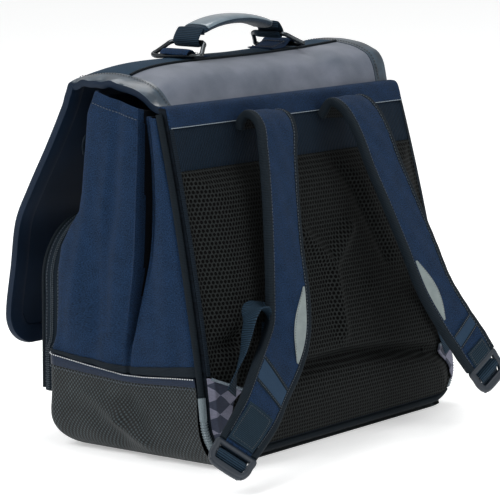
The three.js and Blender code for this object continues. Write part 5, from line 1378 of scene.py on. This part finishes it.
RING_SEAT = RING_WIRE + 7 * GAP
ANCHOR_HALF = 16.5
ANCHOR_SEAM = 12.5
clear = RING_WIRE + GAP + WEB_WALL + 0.2
corners = [(-RING_BASE / 2, 0), (RING_BASE / 2, 0), (RING_TOP / 2, 1), (-RING_TOP / 2, 1)]
for side, sign in SIDES:
    foot_x = HANDLE_X + sign * HANDLE_SPAN / 2
    top_x = foot_x - sign * RING_LEAN
    seat_front, foot, seat_rear = (
        strip_top(foot_x, HANDLE_Y + share * RING_BASE) + RING_SEAT for share in (-0.42, 0, 0.3))
    ring_top = foot + RING_RISE
    wire = []
    for k, (y, rise) in enumerate(corners):
        next_y, next_rise = corners[(k + 1) % 4]
        for u in (0.1, 0.3, 0.5, 0.7, 0.9):
            across, up = mix(y, next_y, u), mix(rise, next_rise, u)
            seat = mix(seat_front, seat_rear, np.clip(across / (0.72 * RING_BASE) + 0.583, 0, 1))
            wire.append((mix(foot_x, top_x, up), HANDLE_Y + across, mix(seat + GAP, ring_top, up)))
    wire = spline(wire, 200, closed=True)
    rod(f"handle_ring_wire_{side}", wire, RING_WIRE, dark_chrome, [f"handle_ring_{side}"],
        sides=16, closed=True, lie=(sign * 0.6, 0, 0.8))
    grip_x = HANDLE_X + sign * (grip_half + GAP)
    grip_z = handle_top + arch[0] - GRIP_THICKNESS / 2
    tab = spline([
        (grip_x + sign * 2.6, HANDLE_Y, grip_z - 3),
        (grip_x + sign * 3, HANDLE_Y, grip_z + 2),
        (grip_x + sign * 5, HANDLE_Y, grip_z + 3.5),
        (mix(grip_x, top_x, 0.6) + sign * 5, HANDLE_Y, mix(grip_z, ring_top, 0.5) + 3),
        (top_x + sign * clear, HANDLE_Y, ring_top + 1),
        (top_x, HANDLE_Y, ring_top - clear),
        (top_x - sign * clear, HANDLE_Y, ring_top + 1),
    ], 90)
    web_strip(f"handle_tab_web_{side}", tab, (0, 1, 0), RING_TOP / 2 - 2 * RING_WIRE, WEB_WALL,
              (top_x, HANDLE_Y, ring_top), tab_web, [f"handle_tab_{side}"], "slate_webbing")
    low_30, low_14 = (strip_top(foot_x - sign * d, HANDLE_Y) + GAP + WEB_WALL for d in (30, 14))
    anchor = spline([
        (foot_x - sign * 30, HANDLE_Y, low_30),
        (foot_x - sign * 14, HANDLE_Y, low_14 + 1),
        (foot_x - sign * 5, HANDLE_Y, foot + clear),
        (foot_x + sign * 1, HANDLE_Y, foot + clear),
        (foot_x + sign * clear, HANDLE_Y, foot + 1),
    ], 70)
    web_strip(f"handle_anchor_web_{side}", anchor, (0, 1, 0), ANCHOR_HALF, WEB_WALL,
              (foot_x, HANDLE_Y, foot), navy_canvas, [f"handle_anchor_{side}"], "navy_cloth")
    box = np.array([anchor[k] + (0, way * ANCHOR_SEAM, 0.35)
                    for k, way in ((3, -1), (26, -1), (26, 1), (3, 1), (3, -1))])
    stitches(f"handle_anchor_stitches_{side}", box, 3.0, 2.1, 0.8, dark_thread)


# Shoulder straps: pads
# Navy canvas over foam, lined with spacer mesh and edged with a raised slate tape that is
# stitched down on its inner side. They are sewn flat under the facing and arch over from there.
STRAP_WIDTH = 51
STRAP_THICKNESS = 7
STRAP_LINING = 2.2
STRAP_BINDING = 7
STRAP_REACH = 100
REFLECTOR_WIDTH = 13
WEBBING_WIDTH = 27
STRAPS = {
    # shares: x of BODY_WIDTH, out of STRAP_REACH, z of BACK_HEIGHT; then the turn and tilt of
    # the strap's width in degrees, and its width by STRAP_WIDTH
    "right": (
        (0.159, 0.045, 0.926, 0, 0, 1),
        (0.160, 0.090, 0.948, 1, 1, 1),
        (0.161, 0.180, 0.963, 3, 3, 1),
        (0.166, 0.277, 0.956, 3, 3, 1),
        (0.176, 0.345, 0.924, 0, 2, 1),
        (0.192, 0.364, 0.865, -3, 0, 1),
        (0.206, 0.369, 0.790, -4, 0, 1),
        (0.218, 0.369, 0.721, -4, 0, 1),
        (0.232, 0.344, 0.580, 0, 2, 1),
        (0.244, 0.334, 0.452, 9, 6, 1),
        (0.268, 0.349, 0.356, 14, 18, 1),
        (0.316, 0.382, 0.292, 20, 33, 1),
        (0.400, 0.464, 0.224, 35, 50, 0.95),
        (0.478, 0.535, 0.154, 50, 47, 0.86),
        (0.582, 0.590, 0.076, 68, 40, 0.76),
    ),
    "left": (
        (-0.158, 0.045, 0.926, 0, 0, 1),
        (-0.161, 0.190, 0.973, 0, 0, 1),
        (-0.159, 0.340, 0.955, 0, 0, 1),
        (-0.157, 0.450, 0.889, 0, 0, 1),
        (-0.155, 0.530, 0.787, 0, 0, 1),
        (-0.160, 0.615, 0.684, 0, 0, 1),
        (-0.174, 0.700, 0.550, 0, 0, 1),
        (-0.192, 0.755, 0.430, 0, -2, 1),
        (-0.221, 0.833, 0.330, 2, -4, 0.98),
        (-0.249, 0.895, 0.258, 5, -6, 0.92),
        (-0.278, 0.930, 0.196, 8, -8, 0.82),
    ),
}
WEBBINGS = {
    # x of BODY_WIDTH, out of STRAP_REACH, z of BACK_HEIGHT, turn of the width in degrees
    "right": (
        (0.462, 0.225, 0.198, 20), (0.442, 0.245, 0.250, 34), (0.416, 0.279, 0.308, 48),
        (0.400, 0.306, 0.362, 58), (0.387, 0.328, 0.402, 60), (0.364, 0.320, 0.424, 56),
        (0.326, 0.270, 0.422, 40),
    ),
    "left": (
        (-0.444, 0.165, 0.185, 0), (-0.410, 0.220, 0.250, 0), (-0.365, 0.280, 0.330, 0),
        (-0.320, 0.350, 0.400, 0), (-0.292, 0.430, 0.445, 0), (-0.268, 0.520, 0.450, 0),
        (-0.252, 0.600, 0.435, 0),
    ),
}


def strap_frame(table, row):
    """Centre, run, width direction, face direction and half width at fractional rows."""
    row = np.atleast_1d(np.asarray(row, float))
    last = len(table) - 1

    def place(r):
        x, out, z = np.moveaxis(between(table, np.clip(r, 0, last)), -1, 0)[:3]
        z = z * BACK_HEIGHT
        return pile(x * BODY_WIDTH, back_y(z) + GAP + 2 + out * STRAP_REACH, z)
    turn, tilt, width = np.moveaxis(between(table, row), -1, 0)[3:6]
    turn, tilt = np.radians(turn), np.radians(tilt)
    run = unit(place(row + 0.05) - place(row - 0.05))
    across = pile(np.cos(turn) * np.cos(tilt), -np.sin(turn) * np.cos(tilt), np.sin(tilt))
    across = unit(across - run * np.einsum("ij,ij->i", across, run)[:, None])
    return place(row), run, across, np.cross(across, run), width * STRAP_WIDTH / 2


def crown(across, half):
    """Height of the stuffed pad over its flat top."""
    return 1.3 * (1 - np.clip(np.abs(across) / half, 0, 1) ** 2.4) - 0.5


def on_strap(table, share, across, up):
    """Points over a strap: share of its length, millimetres across and over its centre."""
    centre, run, wide, face, half = strap_frame(table, share * (len(table) - 1))
    return centre[:, None] + wide[:, None] * across[..., None] + face[:, None] * up[..., None]


share = np.linspace(0, 1, 190)
strap_mesh = spacer_mesh("strap_spacer_mesh", "#252829", "#020303", 3.4)
strap_tape = ribbed_band("strap_edge_tape", "#18222a", "#0a1015", 1.5, relief=0.8)
for side, table in STRAPS.items():
    sign = 1 if side == "right" else -1
    line = strap_frame(table, share * (len(table) - 1))
    half, length = line[4], lengths_along(line[0])
    t = np.linspace(-1, 1, 31)
    across = t[None] * (half - STRAP_BINDING + 0.3)[:, None]
    pucker = 0.28 * np.sin(length[:, None] / 1.9 + 3 * t) * np.abs(t) ** 5
    ease = 0.35 * np.sin(length[:, None] / 23) * (1 - t ** 2)
    ease = ease + 0.2 * np.sin(length[:, None] / 9 + 5 * t)
    fade = np.sin(math.pi * np.clip(share * 12, 0, 0.5))[:, None]
    top = STRAP_THICKNESS / 2 + crown(across, half[:, None]) + (pucker + ease) * fade - 0.1
    low = -STRAP_THICKNESS / 2 + STRAP_LINING + GAP + 0 * across
    flat = flat_of(across, length[:, None])
    pad = two_faces(f"strap_pad_foam_{side}", on_strap(table, share, across, top),
                    on_strap(table, share, across, low), flat, navy_canvas, [f"strap_pad_{side}"],
                    "navy_cloth", 60)
    under = -STRAP_THICKNESS / 2 - 0.35 * (1 - np.abs(t)[None] ** 3) + 0 * across
    two_faces(f"strap_lining_mesh_{side}", on_strap(table, share, across, under),
              on_strap(table, share, across, low - GAP), flat, strap_mesh, [f"strap_lining_{side}"],
              "air_mesh", 60)
    for edge, way in (("outer", sign), ("inner", -sign)):
        turn = ring_angles(24)
        wide, tall = STRAP_BINDING / 2, STRAP_THICKNESS / 2 + 0.75
        middle = way * (half - wide)[:, None]
        ripple = 0.18 * np.sin(length[:, None] / 2.6) * np.cos(turn)
        rings = on_strap(table, share, middle + blunt(np.cos(turn), 0.75) * wide,
                         blunt(np.sin(turn), 0.6) * tall + ripple)
        loft(f"strap_edge_tape_{edge}_{side}", rings, strap_tape, [f"strap_binding_{edge}_{side}"],
             sharp=80)
        seam = way * (half - STRAP_BINDING + 1.2)[:, None]
        stitches(f"strap_edge_stitches_{edge}_{side}",
                 on_strap(table, share, seam, 0 * seam + tall - 0.15)[4:-4, 0],
                 3.1, 2.1, 0.7, slate_thread)


# Shoulder straps: reflector, label band and webbing patch
# A leaf of grey reflective film, a bare woven label band between two stitched edges, and the
# end of the adjusting webbing, all sewn on the face of the strap.
# Glass-bead film: even light grey with a fine grain. It is drawn without its flash.
film, tree, shader, place = cloth_material("grey_reflective_film")
grain = add(tree, "ShaderNodeTexNoise", {"Vector": place, "Scale": 1 / 0.8, "Detail": 2.0})
cloud = add(tree, "ShaderNodeTexNoise", {"Vector": place, "Scale": 1 / 14, "Detail": 2.0})
tone = add(tree, "ShaderNodeMath", {0: grain.outputs["Fac"], 1: 0.5, 2: cloud.outputs["Fac"]},
           operation="MULTIPLY_ADD")
ramp = add(tree, "ShaderNodeMapRange", {"Value": tone.outputs[0], "From Min": 0.5, "From Max": 1.0})
colour = add(tree, "ShaderNodeMix", {0: ramp.outputs[0], 6: linear("#6d7779"), 7: linear("#86918f")},
             data_type="RGBA")
surface(tree, shader, colour, grain.outputs["Fac"], 0.2, 0.0002)
shader.inputs["Roughness"].default_value = 0.5
shader.inputs["Metallic"].default_value = 0.1
label_web = ribbed_band("woven_label_band", "#2b4055", "#1c2e41", 0.9, along="U", relief=0.35)
patch_web = ribbed_band("webbing_end_patch", "#203340", "#0a141c", 1.9, relief=1.0)


def strap_patch(name, table, start, stop, low, high, lift, wall, material, node, slot, skew=0.0,
                swell=0.0):
    """Cloth sewn on the face of a strap. low and high give its edges by half width and share."""
    v, u = np.linspace(0, 1, 60), np.linspace(0, 1, 25)
    faces = []
    for up in (lift + wall, lift):
        rows = []
        for t in u:
            part = mix(start, stop, v) + skew * (t - 0.5)
            half = strap_frame(table, part * (len(table) - 1))[4]
            across = mix(low(half, v), high(half, v), t)
            over = STRAP_THICKNESS / 2 + np.maximum(crown(across, half), 0) + up
            over = over + (swell * math.sin(math.pi * t) if up > lift else 0)
            rows.append(on_strap(table, part, across[:, None], over[:, None])[:, 0])
        faces.append(np.stack(rows, 1))
    run = lengths_along(faces[0][:, 12])
    wide = np.linalg.norm(faces[0] - faces[0][:, :1], axis=-1)
    two_faces(name, *faces, flat_of(wide, run[:, None]), material, [node] if node else (), slot)
    return faces[0]


for side, table in STRAPS.items():
    sign = 1 if side == "right" else -1
    leaf = strap_patch(
        f"strap_reflector_leaf_{side}", table, 0.63, 0.785,
        lambda w, v: -sign * (w - STRAP_BINDING - 2
                              - REFLECTOR_WIDTH * np.sin(math.pi * mix(0.02, 0.98, v))),
        lambda w, v: -sign * (w - STRAP_BINDING - 0.6), 0.25, 0.55, film,
        f"strap_reflector_{side}", "reflective_tape")
    stitches(f"strap_reflector_stitches_{side}", mix(leaf[2:-2, 0], leaf[2:-2, -1], 0.09), 2.6,
             1.7, 0.55, slate_thread)
    across = [lambda w, v: -(w - STRAP_BINDING), lambda w, v: w - STRAP_BINDING]
    skew = -0.016 * sign
    strap_patch(f"strap_label_band_{side}", table, 0.835, 0.888, *across, 0.2, 0.5, label_web,
                f"strap_label_{side}", "slate_webbing", skew)
    for k, (start, stop) in enumerate(((0.835, 0.8415), (0.8815, 0.888))):
        hem = strap_patch(f"strap_label_hem_{side}_{k}", table, start, stop, *across, 0.75, 0.35,
                          strap_tape, None, "slate_webbing", skew, 0.1)
        stitches(f"strap_label_stitches_{side}_{k}", hem[30], 2.5, 1.7, 0.6, slate_thread)
    narrow = [lambda w, v: -np.minimum(WEBBING_WIDTH / 2, w - STRAP_BINDING),
              lambda w, v: np.minimum(WEBBING_WIDTH / 2, w - STRAP_BINDING)]
    end = strap_patch(f"webbing_end_patch_{side}", table, 0.925, 0.995, *narrow, 0.2, 0.9,
                      patch_web, f"webbing_patch_{side}", "slate_webbing")
    box = np.concatenate([end[5, 2:-2], end[5:52, -3], end[52, 2:-2][::-1], end[5:52, 2][::-1]])
    stitches(f"webbing_patch_stitches_{side}", box, 2.8, 1.9, 0.7, dark_thread)


# Adjusting webbing
# Ribbed polyester webbing sewn into the gore. It rises inside the strap, loops over, and runs
# back down the strap's inner side to the buckle.
loop_web = ribbed_band("ribbed_adjusting_webbing", "#263a4a", "#08111a", 2.1, relief=1.2)
# Row of STRAPS where the webbing meets the strap, and how far off the strap's middle it does
TIED_FROM = {"right": (9.7, 14), "left": (7.2, -14)}
for side, rows in WEBBINGS.items():
    table = STRAPS[side]
    free = np.array([(x * BODY_WIDTH, back_y(z * BACK_HEIGHT) + out * STRAP_REACH, z * BACK_HEIGHT)
                     for x, out, z, turn in rows])
    aims = np.array([(math.cos(math.radians(turn)), math.sin(math.radians(turn)), 0)
                     for x, out, z, turn in rows])
    last = len(table) - 1
    start, shift = TIED_FROM[side]
    centre, run, across, face, half = strap_frame(table, np.linspace(start, last, 8))
    shift = shift * (1 - np.linspace(0, 1, 8)) ** 1.4
    tied = centre - face * (STRAP_THICKNESS / 2 + 3 * GAP + WEB_WALL) + across * shift[:, None]
    path = spline(np.concatenate([free, tied]), 200)
    aims = spline(np.concatenate([aims, across]), 200)
    run = unit(np.gradient(path, axis=0))
    aims = unit(aims - run * np.einsum("ij,ij->i", aims, run)[:, None])
    away = unit(np.cross(run, aims))
    web_strip(f"adjusting_webbing_{side}", path - away * 0.8, aims, WEBBING_WIDTH / 2, 1.6,
              path + away, loop_web, [f"strap_webbing_{side}"], "slate_webbing")


# Ladder buckles
# Moulded nylon: a rounded frame with two slots, a ridged bar between them and a thumb wing.
BUCKLE_WIDTH = 42
BUCKLE_THICKNESS = 5
BUCKLE_OFFSET = 0.4
RAIL_WIDTH = 6.2
BAR_PLACE = 13.2
BUCKLE_OUTLINE = (
    # in from the side and along the strap, down one half of the rail's middle line
    (9, 2.5), (3.2, 2.6), (3.3, 10), (3.4, 17), (6.0, 23.2), (12, 25.8),
)
WEBBING_ROUTE = (
    # along the strap and up through the slots, over the bar
    (-6, -3.4), (3, -3.5), (7.2, -1.5), (9.6, 1.8), (13.2, 3.6), (16.8, 1.8), (19.2, -1.8),
    (22.5, -3.6), (25.5, -4.0),
)
# Glass-filled nylon: satin, slate blue, with a fine spark-eroded grain from the mould.
nylon, tree, shader, place = cloth_material("moulded_slate_nylon")
grain = add(tree, "ShaderNodeTexNoise", {"Vector": place, "Scale": 1 / 0.7, "Detail": 2.0})
cloud = add(tree, "ShaderNodeTexNoise", {"Vector": place, "Scale": 1 / 11, "Detail": 2.0})
colour = add(tree, "ShaderNodeMix", {0: cloud.outputs["Fac"], 6: linear("#0e1822"), 7: linear("#172431")},
             data_type="RGBA")
surface(tree, shader, colour, grain.outputs["Fac"], 0.15, 0.0002)
shader.inputs["Roughness"].default_value = 0.42


def bar_rings(points, wide, tall, aim):
    """Rounded flat bar along points: wide in the plane of the buckle, tall through it."""
    points = np.asarray(points, float)
    side = unit(np.cross(unit(np.gradient(points, axis=0)), aim))
    turn = ring_angles(16)[:, None]
    out, over = blunt(np.cos(turn), 0.6) * wide / 2, blunt(np.sin(turn), 0.6) * tall / 2
    return points[:, None] + side[:, None] * out + np.asarray(aim) * over


for side, table in STRAPS.items():
    centre, run, across, face, half = (part[0] for part in strap_frame(table, len(table) - 1))
    start = centre + run * BUCKLE_OFFSET

    def in_buckle(u, v):
        return start + across * np.asarray(u, float)[:, None] + run * np.asarray(v, float)[:, None]
    w = BUCKLE_WIDTH / 2
    right = [(w - inset, v) for inset, v in BUCKLE_OUTLINE]
    left = [(-u, v) for u, v in right[::-1]]
    outline = spline(left[-2:] + right + left[:-2], 150, closed=True)
    loop = in_buckle(outline[:, 0], outline[:, 1])
    loft(f"buckle_frame_{side}", bar_rings(loop, RAIL_WIDTH, BUCKLE_THICKNESS, face), nylon,
         [f"strap_buckle_{side}"], closed=True, sharp=50)
    u = np.linspace(-w + 2, w - 2, 40)
    loft(f"buckle_bar_{side}", bar_rings(in_buckle(u, BAR_PLACE + 0 * u), 4.6, 4.2, face), nylon,
         (), sharp=50)
    u = np.linspace(-w + 4.5, w - 4.5, 40)
    wing = in_buckle(u, 24.2 - 1.6 * (np.abs(u) / w) ** 4) + face * 0.5
    loft(f"buckle_wing_{side}", bar_rings(wing, 6.4, 3.8, face), nylon, (),
         sharp=50)
    route = spline(WEBBING_ROUTE, 80)
    web_strip(f"buckle_webbing_{side}", start + run * route[:, :1] + face * route[:, 1:], across,
              WEBBING_WIDTH / 2 + 0.6, 1.4, start + run * 13 - face * 30, loop_web, (),
              "slate_webbing")
    u = np.linspace(-w + 6, w - 6, 30)
    for k, v in enumerate((-1.3, 0, 1.3)):
        rod(f"buckle_ridge_{side}_{k}", in_buckle(u, BAR_PLACE + v + 0 * u) + face * 2.1, 0.45,
            nylon, (), sides=8, lie=tuple(face))


# Front pocket
# Navy pocket with a rounded top that fills and domes over what it holds. A zip tape runs round
# its side, with a slate piping along its front edge.
POCKET_WIDTH = 356
POCKET_FOOT = 38
POCKET_TOP = 202
POCKET_DEPTH = 26
POCKET_RADIUS = 60
POCKET_DOME = 6
ZIP_WIDTH = 19
ZIP_WALL = 1.6
PIPING_RADIUS = 2
# Height over which the pocket's rim steps back from the boot's face to the panel's
SEAM_STEP = 8
pocket_seam = TRIM_TOP + 1
pocket_face = float(fold_y(0.5 * BACK_HEIGHT, FRONT_EDGE)) - POCKET_DEPTH


def pocket_line(inset):
    """Outline of the pocket in x and z, from the right foot round the top to the left foot."""
    half, foot, top = POCKET_WIDTH / 2 - inset, POCKET_FOOT + inset, POCKET_TOP - inset
    radius = max(POCKET_RADIUS - inset, 4)
    up = np.concatenate([np.linspace(foot, pocket_seam, 12),
                         np.linspace(pocket_seam, pocket_seam + SEAM_STEP, 6)[1:],
                         np.linspace(pocket_seam + SEAM_STEP, top - radius, 26)[1:-1]])
    turn = np.linspace(0, math.pi / 2, 26)
    over = np.linspace(half - radius, radius - half, 90)[1:-1]
    x = np.concatenate([np.full(len(up), half), half - radius + radius * np.cos(turn), over,
                        -(half - radius + radius * np.cos(turn))[::-1], np.full(len(up), -half)])
    z = np.concatenate([up, top - radius + radius * np.sin(turn), np.full(len(over), top),
                        (top - radius + radius * np.sin(turn))[::-1], up[::-1]])
    return x, z


def pocket_seat(z):
    rise = fold_y(np.minimum(z, 0.5 * BACK_HEIGHT), FRONT_EDGE) - 2 * GAP
    return mix(-BODY_DEPTH / 2 - 1 - GAP, rise, np.clip((z - pocket_seam) / SEAM_STEP, 0, 1))


wall = ZIP_WALL + GAP
pipe = 2 * PIPING_RADIUS + GAP
dome = pocket_face - POCKET_DOME
stations = (
    (wall, None), (wall, pocket_face + pipe + 1), (pipe * 0.8, pocket_face + 0.6 * pipe),
    (pipe, pocket_face), (POCKET_RADIUS * 0.25, dome + 0.5 * POCKET_DOME),
    (POCKET_RADIUS * 0.6, dome + 0.15 * POCKET_DOME), (POCKET_TOP / 2.6, dome),
)
rings = []
for inset, y in stations:
    x, z = pocket_line(inset)
    rings.append(pile(x, pocket_seat(z) if y is None else y + 0 * x, z))
rings = between(rings, np.concatenate([np.linspace(0, 1, 5)[:-1], np.linspace(1, 6, 27)]))
x, y, z = np.moveaxis(rings, -1, 0)
loose = 0.8 * np.sin(x / 27 + z / 41) + 0.4 * np.sin(x / 12 - z / 19)
inward = np.clip(np.arange(len(rings)) / len(rings) - 0.25, 0, 1)[:, None]
outer = pile(x, y - loose * inward, z)
flat = flat_of(lengths_along(outer[0])[None], lengths_along(outer[:, 150])[:, None])
last = outer[-1]
fill = np.stack([mix(last, last[::-1], t) for t in np.linspace(0, 0.5, 8)])
shell = np.concatenate([outer, fill[1:]])
x, z = shell[..., 0], shell[..., 2]
flat = np.concatenate([flat, np.stack([x[len(outer):], z[len(outer):]], -1)])
two_faces("front_pocket_cloth", shell, shell * (0.99, 1, 0.99) + (0, CLOTH * 0.9, 1.1), flat,
          navy_canvas, ["front_pocket"], "navy_cloth", 60)

zip_tape = ribbed_band("woven_zip_tape", "#14202a", "#080e14", 1.3, relief=0.5)
x, z = pocket_line(0)
seat, ends = pocket_seat(z) - 1, np.maximum(pocket_seat(z) - 1 - ZIP_WIDTH, pocket_face + 5)
bands = np.linspace(0, 1, 13)
centre_x = np.clip(x, -POCKET_WIDTH / 2 + POCKET_RADIUS, POCKET_WIDTH / 2 - POCKET_RADIUS)
out = unit(pile(x - centre_x, 0, np.maximum(z - POCKET_TOP + POCKET_RADIUS, 0)))
swell = 0.35 * np.sin(math.pi * bands) + 0.5 * np.exp(-((bands - 0.5) / 0.12) ** 2)
middle = np.stack([pile(x, mix(seat, ends, t), z) for t in bands])
outer, inner = middle + out * swell[:, None, None], middle - out * ZIP_WALL * 0.9
flat = flat_of(lengths_along(outer[0])[None], (bands * ZIP_WIDTH)[:, None])
two_faces("pocket_zip_tape", outer, inner, flat, zip_tape, ["pocket_zip"], "dark_binding", 60)
# Polyacetal coil: dark slate, with a small shine on each turn.
teeth, tree, shader = new_material("moulded_zip_teeth")
shader.inputs["Base Color"].default_value = linear("#323e47")
shader.inputs["Roughness"].default_value = 0.35
for k, shift in enumerate((-1.0, 1.0)):
    line = pile(x, mix(seat, ends, 0.5) + shift, z) + out * 1.2
    stitches(f"pocket_zip_coil_{k}", line, 1.9, 1.25, 1.5, teeth)
for k, t in enumerate((0.14, 0.86)):
    line = pile(x, mix(seat, ends, t), z) + out * 0.7
    stitches(f"pocket_zip_stitches_{k}", line, 3.2, 2.2, 0.7, slate_thread)
x, z = pocket_line(PIPING_RADIUS)
rod("pocket_edge_piping", pile(x, pocket_face + PIPING_RADIUS + 0 * x, z), PIPING_RADIUS, cord_tape,
    ["pocket_piping"], sides=14)


# Zip slider
# Cast slider that straddles the coil, with a stamped pull lying beside it.
slider_y = mix(float(pocket_seat(POCKET_TOP)), pocket_face, 0.5)
slider_x = -POCKET_WIDTH / 4
top = POCKET_TOP + GAP
u = np.linspace(-1, 1, 24)
body = pile(slider_x + 7.5 * u, slider_y, top + 1.8)
half_wide = 3.6 - 1.1 * smooth((u + 0.2) / 0.8)
turn = ring_angles(16)
rings = body[:, None] + pile(0 * turn, np.cos(turn), 0)[None] * half_wide[:, None, None]
rings = rings + pile(0, 0, 1.5 * blunt(np.sin(turn), 0.6))[None]
loft("zip_slider_body", rings, dark_chrome, ["zip_slider"], sharp=50)
seat = np.array([slider_x, slider_y, top])
bail = spline([(-5, 0, 3.6), (-1, 0, 4.8), (4, 0, 3.9)], 30)
rod("zip_slider_bail", seat + bail, 0.6, dark_chrome, (), sides=8)
pull = spline([(2, -1.8, 3.4), (11, -2.2, 3.0), (11, 2.2, 3.0), (2, 1.8, 3.4)], 60, closed=True)
rod("zip_slider_pull", seat + pull, 0.7, dark_chrome, (), sides=8, closed=True,
    lie=(0, 0, 1))


# Flap clasps
# Plain moulded clasps sewn on the face of the pocket, hidden behind the flap.
CLASP_WIDTH = 34
CLASP_HEIGHT = 30
CLASP_THICKNESS = 7
CLASP_PLATES = (
    # place through the thickness and size, as shares, from the pocket outwards
    (-0.5, 0.90), (-0.46, 0.96), (-0.38, 1.0), (0.3, 1.0), (0.38, 0.97), (0.42, 0.86),
    (0.42, 0.66), (0.5, 0.60), (0.5, 0.30),
)
turn = ring_angles(48)
a, b = blunt(np.cos(turn), 0.35) * CLASP_WIDTH / 2, blunt(np.sin(turn), 0.35) * CLASP_HEIGHT / 2
for side, sign in SIDES:
    middle = np.array([sign * POCKET_WIDTH / 5, dome - GAP - CLASP_THICKNESS / 2,
                       mix(POCKET_FOOT, POCKET_TOP, 0.5)])
    rings = [middle + pile(a * size, -depth * CLASP_THICKNESS, b * size)
             for depth, size in CLASP_PLATES]
    loft(f"flap_clasp_plate_{side}", rings, nylon, [f"flap_clasp_{side}"], sharp=35)
